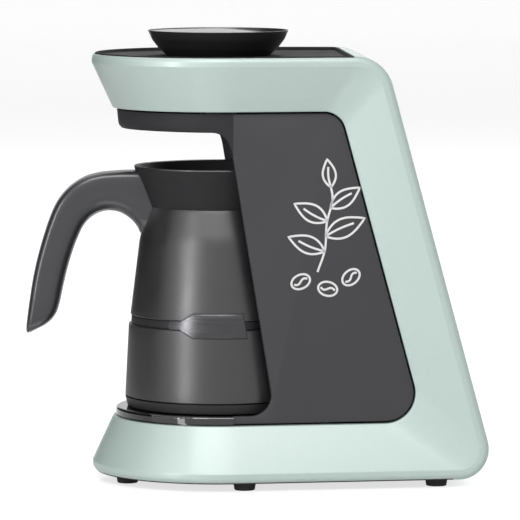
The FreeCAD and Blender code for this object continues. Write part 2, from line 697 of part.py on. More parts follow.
def pod_inside(height):
    """Inner radius of the pod's upright side at a height."""
    low = DECK_TOP + D["pod_turn_height"] + 1.5
    rise = (D["pod_radius"] - D["pod_turn_radius"]) / (POD_LIP - low)
    return D["pod_turn_radius"] - D["pod_lip"] + (height - low) * rise


def make_start_button():
    """The glossy disc in the pod. Its face dips towards the back."""
    body = new_body("start_button")
    top = POD_LIP - D["button_drop"]
    gap = D["button_gap"]
    edge = pod_inside(top) - gap
    turn_profile(body, "disc", [
        (NONE, BUTTON_UNDER), (D["pod_turn_radius"] - D["button_foot_inset"], BUTTON_UNDER),
        (D["pod_turn_radius"] - D["button_foot_inset"] / 2, BUTTON_UNDER + D["button_foot_height"]),
        (edge, top), (NONE, top),
    ])
    sketch = new_sketch(body, "face_sketch")
    drop = 2 * edge * tan_of(D["button_tilt"])
    draw_outline(sketch, [(-edge, top), (edge, top - drop), (edge + 1, top - drop),
                          (edge + 1, top + 1), (-edge, top + 1)])
    pocket(body, sketch, 2 * edge + 4, "slanted_face", midplane=True)


def make_button_stem():
    body = new_body("button_stem")
    add_layer(body, "stem", lambda s: draw_circle(s, D["stem_radius"]),
              BUTTON_UNDER - D["stem_length"], BUTTON_UNDER)


def make_stem_clip():
    """The ring that keeps the stem in its guide tube."""
    body = new_body("stem_clip")
    top = POD_FLOOR_TOP - D["guide_length"] - D["fit"]

    def ring(sketch):
        draw_circle(sketch, D["guide_radius"] + 0.6)
        draw_circle(sketch, D["stem_radius"])

    add_layer(body, "ring", ring, top - 1, top)


def make_button_spring():
    """The coil spring between the pod's floor and the button."""
    body = new_body("button_spring")
    wire = D["spring_wire"]
    sketch = new_sketch(body, "wire_sketch")
    draw_circle(sketch, wire, D["spring_radius"], POD_FLOOR_TOP + wire)
    coil = body.newObject("PartDesign::AdditiveHelix", "coil")
    coil.Profile = sketch
    coil.ReferenceAxis = (sketch, ["V_Axis"])
    coil.Mode = "height-turns-angle"
    coil.Turns = 3
    coil.Height = (D["button_lift"] - 2 * wire).value
    bind(coil, "Height", D["button_lift"] - 2 * wire)


def make_boards():
    board = new_body("control_board")
    add_layer(board, "board", lambda s: draw_box(s, -15, 15, -11.5, 11.5), BOARD_UNDER, BOARD_TOP)
    switch = new_body("tact_switch")
    add_layer(switch, "case", lambda s: draw_box(s, -3, 3, -3, 3), BOARD_TOP, SWITCH_TOP - 0.8)
    add_layer(switch, "plunger", lambda s: draw_circle(s, 1.7), SWITCH_TOP - 0.8, SWITCH_TOP)
    buzzer = new_body("buzzer")
    add_layer(buzzer, "case", lambda s: draw_circle(s, 4.8), BOARD_UNDER - 7, BOARD_UNDER)
    floor = HEAD_UNDER + D["head_floor"]
    window = new_body("sensor_window")
    radius = D["sensor_radius"]
    turn_profile(window, "cup", [
        (NONE, HEAD_UNDER), (radius, HEAD_UNDER), (radius, floor), (radius + 2, floor),
        (radius + 2, floor + 3.5), (radius + 0.5, floor + 3.5), (radius + 0.5, floor + 1.2),
        (NONE, floor + 1.2),
    ])
    sensor = new_body("sensor_board")
    add_layer(sensor, "board", lambda s: draw_circle(s, radius + 2), floor + 3.5,
              floor + 3.5 + D["board_thickness"])


make_outer_frame()
make_side_panel("left_side_panel", -1)
make_side_panel("right_side_panel", 1)
make_top_deck()
make_head_housing()
make_control_pod()
make_start_button()
make_button_stem()
make_stem_clip()
make_button_spring()
make_boards()

COLUMN_BACK = D["bay_radius"] + D["bay_wall"]
BOARD_FRONT = COLUMN_BACK + D["board_standoff"]
BOARD_BACK = BOARD_FRONT + D["board_thickness"]
BOARD_LOW = STAND_TOP + 18
BOARD_HIGH = BOARD_LOW + 78
SEAM = POT_SOLE + D["pot_base_height"]
BAND_LOW = STAND_TOP + D["band_low"]
BAND_HIGH = BAND_LOW + D["band_height"]
SHOULDER = STAND_TOP + D["shoulder_height"]
NECK = STAND_TOP + D["neck_height"]
POT_TOP = STAND_TOP + D["pot_height"]
LINER_UNDER = STAND_TOP + D["liner_floor"]
PLATE_INNER_TOP = SOLE + D["plate_flange"] + D["ledge_wall"]
STAND_UNDER = STAND_TOP - D["stand_plate"]
BOSS_TOP = STAND_TOP + D["boss_height"]


def add_plate(body, name, draw, low, high):
    """Pads what draw puts in an upright sketch across the machine, from x low to x high."""
    sketch = new_sketch(body, name + "_sketch", "YZ_Plane", low)
    draw(sketch)
    return pad(body, sketch, high - low, name)


def ring_of(outer, inner):
    """A drawing of two circles about the pot axis."""
    def draw(sketch):
        draw_circle(sketch, outer)
        draw_circle(sketch, inner)
    return draw


def make_pot_bay():
    """The hollow front of the column, with lips that close it against the side panels."""
    body = new_body("pot_bay")
    radius, wall = D["bay_radius"], D["bay_wall"]
    lip = D["panel_wall"]
    past = RAIL + 8
    low, high = STAND_TOP, HEAD_UNDER
    add_layer(body, "round_wall", lambda s: draw_circle(s, COLUMN_BACK), low, high)
    lips = new_sketch(body, "lips_sketch")
    draw_outline(lips, [(NONE, low), (wing_line(low) + lip, low), (wing_line(high) + lip, high),
                        (NONE, high)])
    pad(body, lips, 2 * past, "lips", midplane=True)
    add_plate(body, "board_posts",
              lambda s: draw_circles(s, D["post_radius"] - 1, POWER_POSTS),
              COLUMN_BACK - 12, BOARD_FRONT)
    cut_layer(body, "hollow", lambda s: draw_circle(s, radius), low - 1, high + 1)

    def outside(sketch):
        draw_box(sketch, -past, past + 8, -past, past)
        draw_tongue(sketch, RAIL, past)

    cut_layer(body, "sides", outside, low - 1, high + 1)
    front = new_sketch(body, "front_sketch")
    draw_outline(front, [
        (-past, low - 1), (wing_line(low - 1), low - 1), (wing_line(high + 1), high + 1),
        (-past, high + 1),
    ])
    pocket(body, front, 2 * past + 2, "front", midplane=True)


POWER_POSTS = [(side * 24, height) for side in (-1, 1) for height in (BOARD_LOW + 6, BOARD_HIGH - 6)]


def make_stand_disc():
    """The glossy stand: a plate with a round front, and a skirt that drops into the base."""
    body = new_body("stand_disc")
    wall = D["flange_wall"]
    brim = BASE_EDGE + D["panel_gap"]
    foot = BASE_EDGE - D["flange_lap"]
    add_layer(body, "plate", lambda s: draw_tongue(s, TRAY, TRAY_END), STAND_UNDER, STAND_TOP)
    turn_profile(body, "front_wall", [
        (-(TRAY - wall), foot), (-RAIL, foot), (-RAIL, brim), (-D["stand_radius"], brim),
        (-D["stand_radius"], STAND_TOP, 1.4), (-(TRAY - wall), STAND_TOP),
    ], FRONT_TURN)
    add_layer(body, "skirt", lambda s: draw_tongue(s, TRAY, TRAY_END), foot, STAND_UNDER)
    cut_layer(body, "skirt_hollow", lambda s: draw_tongue(s, TRAY - wall, TRAY_END - wall),
              foot - 1, STAND_UNDER)
    add_layer(body, "screw_posts", lambda s: draw_circles(s, D["post_radius"], BASE_SCREWS),
              PLATE_INNER_TOP, STAND_UNDER)
    cut_layer(body, "post_holes", lambda s: draw_circles(s, D["screw_radius"], BASE_SCREWS),
              PLATE_INNER_TOP - 1, PLATE_INNER_TOP + 14)
    cut_layer(body, "boss_hole", lambda s: draw_circle(s, D["boss_radius"] + D["fit"]),
              STAND_UNDER - 1, STAND_TOP + 1)


def make_base_connector():
    """The round connector in the stand that the pot drops over, and its two contact rings."""
    body = new_body("base_connector")
    radius, flange = D["boss_radius"], D["boss_flange_radius"]
    slot_in, slot_out = D["boss_slot_inner"], D["boss_slot_outer"]
    slot_floor = STAND_TOP + 1.5
    low = STAND_UNDER - 13
    turn_profile(body, "boss", [
        (NONE, low), (radius, low), (radius, STAND_UNDER - 2.2), (flange, STAND_UNDER - 2.2),
        (flange, STAND_UNDER), (radius, STAND_UNDER), (radius, BOSS_TOP, 1), (slot_out, BOSS_TOP),
        (slot_out, slot_floor), (slot_in, slot_floor), (slot_in, BOSS_TOP), (1.6, BOSS_TOP),
        (1.6, slot_floor), (NONE, slot_floor),
    ])
    contacts = new_body("connector_contacts")
    contacts.AllowCompound = True
    add_layer(contacts, "outer_ring", ring_of(slot_out - 0.1, slot_out - 0.8),
              slot_floor, BOSS_TOP - 2)
    add_layer(contacts, "inner_ring", ring_of(slot_in + 0.8, slot_in + 0.1),
              slot_floor, BOSS_TOP - 2)


def make_bottom_plate():
    """The plate under the base, on the lower ledge, with holes for its screws and feet."""
    body = new_body("bottom_plate")
    fit = D["fit"]
    end = D["plate_end"]
    inner_end = end - D["ledge_width"] - fit
    add_layer(body, "flange", lambda s: draw_tongue(s, RECESS - fit, end - fit),
              SOLE, SOLE + D["plate_flange"])
    add_layer(body, "inner", lambda s: draw_tongue(s, OPENING - fit, inner_end),
              SOLE + D["plate_flange"], PLATE_INNER_TOP)
    cut_layer(body, "screw_holes",
              lambda s: draw_circles(s, D["screw_radius"] + fit, BASE_SCREWS),
              SOLE - 1, PLATE_INNER_TOP + 1)
    cut_layer(body, "head_seats",
              lambda s: draw_circles(s, D["screw_head_radius"] + fit, BASE_SCREWS),
              SOLE - 1, SOLE + 1.8)
    cut_layer(body, "foot_holes", lambda s: draw_circles(s, D["stud_radius"] + fit, FEET.values()),
              SOLE - 1, PLATE_INNER_TOP + 1)


FEET = {f"{word}_{hand}_foot": (x, side * y)
        for word, x, y in (("front", D["front_foot_x"], D["front_foot_y"]),
                           ("middle", D["middle_foot_x"], D["middle_foot_y"]),
                           ("rear", D["rear_foot_x"], D["rear_foot_y"]))
        for hand, side in (("left", -1), ("right", 1))}


def make_feet():
    """Six rubber feet, each pushed into the bottom plate by its stud."""
    for label, (x, y) in FEET.items():
        body = new_body(label)
        sole, top = D["foot_radius"], D["foot_radius"] + 0.7
        stud = D["stud_radius"]
        turn_profile(body, "foot", [
            (NONE, NONE), (sole, NONE, 0.5), (top, SOLE), (stud, SOLE),
            (stud, PLATE_INNER_TOP + 1), (NONE, PLATE_INNER_TOP + 1),
        ])
        bind(body, "Placement.Base.x", D["pot_axis_x"] + x)
        bind(body, "Placement.Base.y", y)


def make_screws(label, places, head_low, head_high, tip):
    """A set of alike screws as one node, each a solid of its own."""
    body = new_body(label)
    body.AllowCompound = True
    add_layer(body, "heads", lambda s: draw_circles(s, D["screw_head_radius"], places),
              head_low, head_high)
    low, high = (head_high, tip) if value_of(tip) > value_of(head_high) else (tip, head_low)
    add_layer(body, "shanks", lambda s: draw_circles(s, D["screw_radius"] - 0.1, places),
              low, high)


def make_power_parts():
    """The power board behind the column, with its relay, capacitor, supply block and terminals."""
    board = new_body("power_board")
    add_plate(board, "board", lambda s: draw_box(s, -31, 31, BOARD_LOW, BOARD_HIGH),
              BOARD_FRONT, BOARD_BACK)
    blocks = {
        "relay": (-27, -8, BOARD_LOW + 12, BOARD_LOW + 27, 15.5),
        "filter_capacitor": (4, 22, BOARD_LOW + 14, BOARD_LOW + 22, 14),
        "supply_block": (-13, 13, BOARD_LOW + 38, BOARD_LOW + 60, 17),
    }
    for label, (y_low, y_high, z_low, z_high, depth) in blocks.items():
        part = new_body(label)
        add_plate(part, "case", lambda s: draw_box(s, y_low, y_high, z_low, z_high),
                  BOARD_BACK, BOARD_BACK + depth)
    plug = new_body("terminal_block")
    add_plate(plug, "case", lambda s: draw_box(s, -24, 24, BOARD_LOW + 1, BOARD_LOW + 9),
              BOARD_BACK, BOARD_BACK + 10)


def make_wire(label, corners, radius):
    """A sleeve of wires along straight runs with round corners, in the machine's middle plane."""
    body = new_body(label)
    path = new_sketch(body, "path")
    places = [V(value_of(c[0]), value_of(c[1]), 0) for c in corners]
    (start, bend, end) = places
    before, after = (start - bend).normalize(), (end - bend).normalize()
    turn = value_of(corners[1][2])
    cut = turn / math.tan(before.getAngle(after) / 2)
    centre = bend + (before + after).normalize() * (turn / math.sin(before.getAngle(after) / 2))
    middle = centre - (before + after).normalize() * turn
    first = path.addGeometry(Part.LineSegment(start, bend + before * cut), False)
    arc = path.addGeometry(Part.Arc(bend + before * cut, middle, bend + after * cut), False)
    last = path.addGeometry(Part.LineSegment(bend + after * cut, end), False)
    ccw = (before.x * after.y - before.y * after.x) < 0
    arc_in, arc_out = (1, 2) if ccw else (2, 1)
    point = path.addGeometry(Part.Point(bend), True)
    path.addConstraint(Sketcher.Constraint("Tangent", first, 2, arc, arc_in))
    path.addConstraint(Sketcher.Constraint("Tangent", last, 1, arc, arc_out))
    path.addConstraint(Sketcher.Constraint("PointOnObject", point, 1, first))
    path.addConstraint(Sketcher.Constraint("PointOnObject", point, 1, last))
    pin(path, point, 1, corners[1][0], corners[1][1])
    measure(path, "Radius", (arc,), corners[1][2])
    pin(path, first, 1, corners[0][0], corners[0][1])
    pin(path, last, 2, corners[2][0], corners[2][1])
    profile = new_sketch(body, "section", "XY_Plane", corners[0][1])
    draw_circle(profile, radius, corners[0][0])
    pipe = body.newObject("PartDesign::AdditivePipe", "sleeve")
    pipe.Profile = profile
    pipe.Spine = (path, [])
    return pipe


def make_cord_gland():
    """The bush in the heel that the mains cord would leave by, and its clamp on the plate."""
    body = new_body("cord_gland")
    low = D["plate_end"] - 1
    axis = D["gland_height"]
    heel = back_line(SOLE, NONE) - 5.2
    add_plate(body, "barrel", lambda s: draw_circle(s, D["gland_radius"], 0, axis), low, heel)
    add_plate(body, "collar", lambda s: draw_circle(s, D["gland_radius"] + 2.2, 0, axis),
              low, low + 3)
    bore = new_sketch(body, "bore_sketch", "YZ_Plane", low - 1)
    draw_circle(bore, D["cord_hole_radius"], 0, axis)
    pocket(body, bore, 60, "bore", reverse=True)
    clamp = new_body("cord_clamp")
    add_plate(clamp, "block", lambda s: draw_box(s, -9, 9, PLATE_INNER_TOP, axis - 4),
              low - 18, low - 8)


make_pot_bay()
make_stand_disc()
make_base_connector()
make_bottom_plate()
make_feet()
make_screws("deck_screws", DECK_SCREWS, DECK_TOP, DECK_TOP + 2, DECK_TOP - 11)
make_screws("bottom_screws", BASE_SCREWS, SOLE, SOLE + 1.8, PLATE_INNER_TOP + 9)
make_power_parts()
make_wire("head_wires", [(BOARD_FRONT - 2.4, BOARD_HIGH - 3),
                         (BOARD_FRONT - 2.4, BOARD_UNDER - 2.5, 7),
                         (D["stem_radius"] * 2, BOARD_UNDER - 2.5)], 2.2)
make_cord_gland()


def pot_skin(inset, low, high):
    """The pot's outer line between its seam and its neck, moved in by inset."""
    groove = D["pot_belly_radius"] - D["groove_depth"] - inset
    return [
        (D["pot_low_radius"] - inset, low), (D["pot_band_radius"] - inset, BAND_LOW),
        (groove, BAND_LOW), (groove, BAND_HIGH), (D["pot_belly_radius"] - inset, BAND_HIGH),
        (D["pot_shoulder_radius"] - inset, SHOULDER, 14), (D["neck_radius"] - inset, high),
    ]


def make_pot_shell():
    """The dark outer body of the pot, with a groove round it for the band."""
    body = new_body("pot_shell")
    wall = D["pot_wall"]
    groove = D["pot_belly_radius"] - D["groove_depth"] - wall
    turn_profile(body, "shell", pot_skin(NONE, SEAM, NECK) + [
        (D["neck_radius"] - wall, NECK), (D["pot_shoulder_radius"] - wall, SHOULDER, 12),
        (groove, BAND_HIGH + 4), (groove, BAND_LOW - 4), (D["pot_low_radius"] - wall, SEAM),
    ])


def make_pot_collar():
    """The flared matt collar between the neck and the rim."""
    body = new_body("pot_collar")
    wall = D["pot_wall"]
    top = POT_TOP - D["liner_wall"]
    turn_profile(body, "collar", [
        (D["neck_radius"], NECK), (D["rim_radius"], top), (D["rim_radius"] - wall, top),
        (D["neck_radius"] - wall, NECK),
    ])


def make_pot_liner():
    """The drawn steel liner, whose rim is rolled over the collar."""
    body = new_body("pot_liner")
    skin, wall = D["pot_wall"] + D["liner_gap"], D["liner_wall"]
    groove = D["pot_belly_radius"] - D["groove_depth"] - skin
    foot = groove - 1.0
    shoulder = D["pot_shoulder_radius"] - skin
    neck = D["neck_radius"] - skin
    mouth = D["rim_radius"] - D["pot_wall"] - 0.4
    rim = D["rim_radius"]
    lip_foot = POT_TOP - wall
    turn_profile(body, "liner", [
        (NONE, LINER_UNDER), (foot, LINER_UNDER, 5), (groove, BAND_HIGH), (shoulder, SHOULDER, 12),
        (neck, NECK), (mouth, lip_foot), (rim, lip_foot), (rim, POT_TOP),
        (mouth - wall, POT_TOP), (neck - wall, NECK), (shoulder - wall, SHOULDER, 11),
        (groove - wall, BAND_HIGH), (foot - wall, LINER_UNDER + wall, 4),
        (NONE, LINER_UNDER + wall),
    ])


def make_pot_base():
    """The foot of the pot: a ring-shaped tray that plugs into the shell."""
    body = new_body("pot_base")
    wall = D["pot_wall"]
    spigot = D["pot_low_radius"] - wall - D["fit"] - 0.4
    hole = D["boss_flange_radius"]
    turn_profile(body, "base", [
        (hole, POT_SOLE), (D["pot_foot_radius"], POT_SOLE, 0.8), (D["pot_low_radius"], SEAM),
        (spigot, SEAM), (spigot, SEAM + 4), (spigot - 1.8, SEAM + 4), (spigot - 1.8, POT_SOLE + 2),
        (hole, POT_SOLE + 2),
    ])
    socket = new_body("pot_socket")
    barrel = hole - D["fit"]
    bore = D["boss_radius"] + 0.5
    turn_profile(socket, "socket", [
        (bore, POT_SOLE + 0.4), (barrel, POT_SOLE + 0.4), (barrel, POT_SOLE + 2),
        (barrel + 4, POT_SOLE + 2), (barrel + 4, POT_SOLE + 3.6), (barrel, POT_SOLE + 3.6),
        (barrel, POT_SOLE + 12.6), (NONE, POT_SOLE + 12.6), (NONE, POT_SOLE + 11),
        (bore, POT_SOLE + 11),
    ])
    contacts = new_body("socket_contacts")
    contacts.AllowCompound = True
    middle = (D["boss_slot_inner"] + D["boss_slot_outer"]) / 2
    add_layer(contacts, "blade", ring_of(middle + 0.5, middle - 0.5), POT_SOLE + 4, POT_SOLE + 11)
    add_layer(contacts, "pin", lambda s: draw_circle(s, 1), POT_SOLE + 5, POT_SOLE + 11)


def make_heater():
    """The plate under the liner, the tubular element on it and the thermal cutout."""
    top = LINER_UNDER
    plate = new_body("heater_plate")
    add_layer(plate, "plate", lambda s: draw_circle(s, D["heater_radius"]), top - 3, top)
    element = new_body("heating_element")
    wire = 2.6
    turn_profile(element, "loop", [
        (-(D["element_radius"] - wire), top - 3 - 2 * wire, wire * 0.98),
        (-(D["element_radius"] + wire), top - 3 - 2 * wire, wire * 0.98),
        (-(D["element_radius"] + wire), top - 3), (-(D["element_radius"] - wire), top - 3),
    ], 320)
    cutout = new_body("thermal_cutout")
    add_layer(cutout, "case", lambda s: draw_circle(s, 6.5), POT_SOLE + 12.6, top - 3)


def make_band():
    """The band in the pot's groove, with the plain plate at the side."""
    body = new_body("badge_band")
    inner = D["pot_belly_radius"] - D["groove_depth"] + 0.1
    outer = D["pot_belly_radius"]
    low, high = BAND_LOW + 0.2, BAND_HIGH - 0.2
    turn_profile(body, "band", [(inner, low), (outer, low), (outer, high), (inner, high)])
    plate = new_sketch(body, "plate_sketch", "YZ_Plane")
    proud = D["badge_proud"]
    low_back = D["pot_band_radius"] + 0.35
    high_back = D["pot_belly_radius"] + 0.15
    bottom = (BAND_LOW + BAND_HIGH - D["badge_height"]) / 2
    top = bottom + D["badge_height"]
    draw_outline(plate, [
        (-(low_back + proud), bottom), (-(high_back + proud), top), (-high_back, top),
        (-high_back, high), (-(inner + 0.2), high), (-(inner + 0.2), low), (-low_back, low),
        (-low_back, bottom),
    ])
    feature = body.newObject("PartDesign::Revolution", "plate")
    feature.Profile = plate
    feature.ReferenceAxis = (plate, ["V_Axis"])
    feature.Angle = D["badge_angle"].value
    bind(feature, "Angle", D["badge_angle"])
    feature.Midplane = True


def long_edges(shape):
    """The edges round both flat sides of the handle's blade, except those inside the pot."""
    names = []
    for number, edge in enumerate(shape.Edges, start=1):
        box = edge.BoundBox
        if box.YLength < 0.01 and box.XMax < -(D["neck_radius"].value + 1.3):
            names.append(f"Edge{number}")
    return names


def make_handle():
    """The J-shaped handle: one moulding that hugs the collar and the shell."""
    body = new_body("pot_handle")
    reach, top, neck = D["handle_reach"], D["handle_top"], D["neck_radius"]
    finger = neck + D["handle_finger"]
    grip_foot = top - D["handle_drop"] + 7
    gap_roof = top - D["handle_arm"]
    root = top - D["handle_root"]
    sketch = new_sketch(body, "side_view")
    draw_outline(sketch, [
        (-(neck - 7.2), top + 0.6), (-(reach - D["handle_lean"]), top - 2.8, 21),
        (-(reach - D["handle_lean"] * 0.29), top - D["handle_drop"] * 0.6, 120),
        (-reach, top - D["handle_drop"], 4.2), (-(reach - D["handle_grip"]), grip_foot, 10),
        (-finger, gap_roof, 17), (-(neck + 9.3), gap_roof, 15.5), (-(neck + 0.8), root),
        (-(neck - 7.2), root),
    ])
    blade = pad(body, sketch, D["handle_width"], "blade", midplane=True)
    doc.recompute()
    rounds = body.newObject("PartDesign::Fillet", "rounds")
    rounds.Base = (blade, long_edges(blade.Shape))
    rounds.Radius = D["handle_round"].value
    bind(rounds, "Radius", D["handle_round"])
    gap = 0.15
    wall = new_sketch(body, "pot_line")
    draw_outline(wall, [
        (NONE, BAND_HIGH), (D["pot_belly_radius"] + gap, BAND_HIGH),
        (D["pot_shoulder_radius"] + gap, SHOULDER, 14), (D["neck_radius"] + gap, NECK),
        (D["rim_radius"] + gap, POT_TOP - D["liner_wall"]), (D["rim_radius"] + gap, POT_TOP + 1),
        (NONE, POT_TOP + 1),
    ])
    groove = body.newObject("PartDesign::Groove", "seat")
    groove.Profile = wall
    groove.ReferenceAxis = (wall, ["V_Axis"])
    groove.Angle = 360
    cuts.append(groove)


make_pot_shell()
make_pot_collar()
make_pot_liner()
make_pot_base()
make_heater()
make_band()
make_handle()

doc.recompute()
faults = [f"{thing.Name}: {', '.join(thing.State)}" for thing in doc.Objects
          if "Invalid" in thing.State or "Error" in thing.State]
nodes = [thing for thing in doc.Objects if thing.TypeId == "PartDesign::Body"]
for node in nodes:
    if node.Shape.isNull() or not node.Shape.isValid():
        faults.append(f"{node.Label}: no valid shape")
for cut in cuts:
    base = cut.BaseFeature
    if base is None or base.Shape.isNull() or cut.Shape.isNull():
        faults.append(f"{cut.Name}: no shape before or after it")
    elif cut.Shape.Volume > base.Shape.Volume - 0.01:
        faults.append(f"{cut.Name}: cuts nothing")
if faults:
    raise RuntimeError("; ".join(faults))
os.makedirs("parts", exist_ok=True)
for node in nodes:
    node.Shape.exportStep(f"parts/{node.Label}.step")
    box = node.Shape.optimalBoundingBox(False)
    print(f"{node.Label}: {len(node.Shape.Solids)} solid(s), {node.Shape.Volume / 1000:.1f} cm3,"
          f" x {box.XMin:.1f}..{box.XMax:.1f} y {box.YMin:.1f}..{box.YMax:.1f}"
          f" z {box.ZMin:.1f}..{box.ZMax:.1f}")
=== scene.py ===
"""Electric turkish coffee maker, dressed for the studio.

Lengths in the sections are millimetres about the axis of the pot; each mesh is moved to the
machine's own frame, in metres, as it is made. The machine's front looks along -X, and its left
side, which faces the camera, is at -Y.
"""

import math

import bmesh
import bpy
import numpy as np
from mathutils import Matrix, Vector


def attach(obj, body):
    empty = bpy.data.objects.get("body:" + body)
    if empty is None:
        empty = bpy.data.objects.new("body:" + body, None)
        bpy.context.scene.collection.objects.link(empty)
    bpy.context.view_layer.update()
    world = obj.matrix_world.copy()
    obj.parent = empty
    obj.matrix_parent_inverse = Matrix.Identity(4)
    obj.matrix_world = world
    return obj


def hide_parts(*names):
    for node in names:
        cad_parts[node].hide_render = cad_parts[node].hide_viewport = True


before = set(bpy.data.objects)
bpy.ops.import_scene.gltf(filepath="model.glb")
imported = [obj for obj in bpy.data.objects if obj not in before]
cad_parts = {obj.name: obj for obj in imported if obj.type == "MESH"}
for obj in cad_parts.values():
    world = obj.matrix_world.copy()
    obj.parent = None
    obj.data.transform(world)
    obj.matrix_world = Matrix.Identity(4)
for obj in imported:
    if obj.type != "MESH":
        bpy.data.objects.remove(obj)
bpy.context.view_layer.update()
scene = bpy.context.scene


# Studio: a pale table that runs into a white backdrop, a long lens a little above the rim of the
# pot, broad soft lamps over the front and the back, a tall soft lamp at the left, and an even
# white room. Lengths here are in metres.
TARGET = Vector((0.0038, 0.0, 0.1171))
CAMERA_DISTANCE = 2.45
azimuth, elevation = math.radians(-3.4), math.radians(5.1)
backwards = Vector((math.sin(azimuth) * math.cos(elevation),
                    -math.cos(azimuth) * math.cos(elevation), math.sin(elevation)))
camera = bpy.data.objects.new("camera", bpy.data.cameras.new("camera"))
camera.data.lens = 314.1
camera.data.sensor_width = 36
camera.data.clip_end = 30
camera.location = TARGET + backwards * CAMERA_DISTANCE
camera.rotation_euler = (-backwards).to_track_quat("-Z", "Y").to_euler()
scene.collection.objects.link(camera)
scene.camera = camera
scene.view_settings.view_transform = "Standard"

LAMPS_AIM = Vector((0, 0, 0.12))


def soft_lamp(name, place, width, height, power):
    """A rectangle of light of a width and a height, turned towards the middle of the machine."""
    lamp = bpy.data.lights.new(name, "AREA")
    lamp.shape = "RECTANGLE"
    lamp.size, lamp.size_y, lamp.energy = width, height, power
    stand = bpy.data.objects.new(name, lamp)
    stand.location = place
    stand.rotation_euler = (Vector(place) - LAMPS_AIM).to_track_quat("Z", "Y").to_euler()
    scene.collection.objects.link(stand)


soft_lamp("front_lamp", (-0.2, -1.5, 1.75), 1.6, 0.9, 28)
soft_lamp("left_lamp", (-1.35, -1.35, 0.4), 0.28, 1.0, 13)
soft_lamp("back_lamp", (0.7, 1.7, 1.7), 1.4, 0.9, 22)


def background_level(tree, socket, low, high, gloss_share):
    """Sets a strength by the kind of ray: high for rays from the camera, the gloss share of the
    way from low to high for rays off glossy surfaces, and low for all others."""
    rays = tree.nodes.new("ShaderNodeLightPath")
    share = tree.nodes.new("ShaderNodeMath")
    share.operation = "MULTIPLY"
    share.inputs[1].default_value = gloss_share
    larger = tree.nodes.new("ShaderNodeMath")
    larger.operation = "MAXIMUM"
    level = tree.nodes.new("ShaderNodeMapRange")
    level.inputs["To Min"].default_value = low
    level.inputs["To Max"].default_value = high
    tree.links.new(rays.outputs["Is Glossy Ray"], share.inputs[0])
    tree.links.new(rays.outputs["Is Camera Ray"], larger.inputs[0])
    tree.links.new(share.outputs[0], larger.inputs[1])
    tree.links.new(larger.outputs[0], level.inputs["Value"])
    tree.links.new(level.outputs["Result"], socket)


room = bpy.data.worlds.new("room")
scene.world = room
room.use_nodes = True
light = room.node_tree.nodes["Background"]
light.inputs["Color"].default_value = (1, 1, 1, 1)
background_level(room.node_tree, light.inputs["Strength"], 0.2, 1.0, 1.0)


def tint(red, green, blue):
    """A colour as it looks on a screen, 0 to 255, made the linear colour that a shader takes."""
    seen = np.array([red, green, blue]) / 255.0
    return (*np.where(seen < 0.04045, seen / 12.92, ((seen + 0.055) / 1.055) ** 2.4), 1.0)


def new_material(name):
    """A material with one principled shader, and its node tree."""
    material = bpy.data.materials.new(name)
    material.use_nodes = True
    tree = material.node_tree
    return material, tree, tree.nodes["Principled BSDF"]


def grid_faces(rows, columns, wrap_rows=False, wrap_columns=False, start=0):
    """Four-sided faces between neighbours of a grid of points, round its ends where it wraps.
    The grid's first point has the number start."""
    i, j = np.meshgrid(np.arange(rows if wrap_rows else rows - 1),
                       np.arange(columns if wrap_columns else columns - 1), indexing="ij")
    i, j = i.ravel(), j.ravel()
    down, over = (i + 1) % rows, (j + 1) % columns
    corners = [i * columns + j, down * columns + j, down * columns + over, i * columns + over]
    return (np.stack(corners, axis=1) + start).tolist()


def stage_sheet(name, points, faces, material):
    """A sheet of the studio, smooth, in metres."""
    mesh = bpy.data.meshes.new(name)
    mesh.from_pydata(points.reshape(-1, 3).tolist(), [], faces)
    mesh.shade_smooth()
    mesh.materials.append(material)
    sheet = bpy.data.objects.new(name, mesh)
    scene.collection.objects.link(sheet)
    return sheet


white, tree, shader = new_material("white_table")
shader.inputs["Base Color"].default_value = tint(205, 205, 205)
shader.inputs["Roughness"].default_value = 0.5
shader.inputs["Specular IOR Level"].default_value = 0.0
gloss = tree.nodes.new("ShaderNodeBsdfGlossy")
gloss.inputs["Roughness"].default_value = 0.07
blend = tree.nodes.new("ShaderNodeMixShader")
blend.inputs["Fac"].default_value = 0.3
glow = tree.nodes.new("ShaderNodeEmission")
background_level(tree, glow.inputs["Strength"], 0.0, 0.7, 0.4)
both = tree.nodes.new("ShaderNodeAddShader")
tree.links.new(shader.outputs[0], blend.inputs[1])
tree.links.new(gloss.outputs[0], blend.inputs[2])
tree.links.new(blend.outputs[0], both.inputs[0])
tree.links.new(glow.outputs[0], both.inputs[1])
tree.links.new(both.outputs[0], tree.nodes["Material Output"].inputs["Surface"])

# The table lies flat over the first half of the sweep, bends up through a quarter turn over the
# second half, and ends in a tall wall.
TABLE_ROWS = 40
TABLE_NEAR, BEND_START, BEND_RADIUS = -4.0, 3.6, 1.2
sweep = np.linspace(0, 1, TABLE_ROWS)[:, None]
bend = np.clip(sweep - 0.5, 0, 1) * np.pi
run = np.where(sweep < 0.5, TABLE_NEAR + 2 * (BEND_START - TABLE_NEAR) * sweep,
               BEND_START + BEND_RADIUS * np.sin(bend))
rise = BEND_RADIUS * (1 - np.cos(bend)) + 60 * np.clip(sweep - 0.97, 0, 1)
ends = np.array([[4.0, -4.0]])
table = np.stack([ends + 0 * run, run + 0 * ends, rise + 0 * ends], axis=-1)
floor = stage_sheet("table", table, grid_faces(TABLE_ROWS, 2), white)

# A dark card stands out of view at the left and behind, so that round forms darken towards it.
black, tree, shader = new_material("black_card")
shader.inputs["Base Color"].default_value = tint(20, 20, 20)
shader.inputs["Roughness"].default_value = 0.9
card = np.array([[-0.95, -0.15, 0.01], [-0.35, 0.95, 0.01],
                 [-0.35, 0.95, 0.9], [-0.95, -0.15, 0.9]])
flag = stage_sheet("dark_card", card, [[0, 1, 2, 3]], black)
flag.visible_camera = False


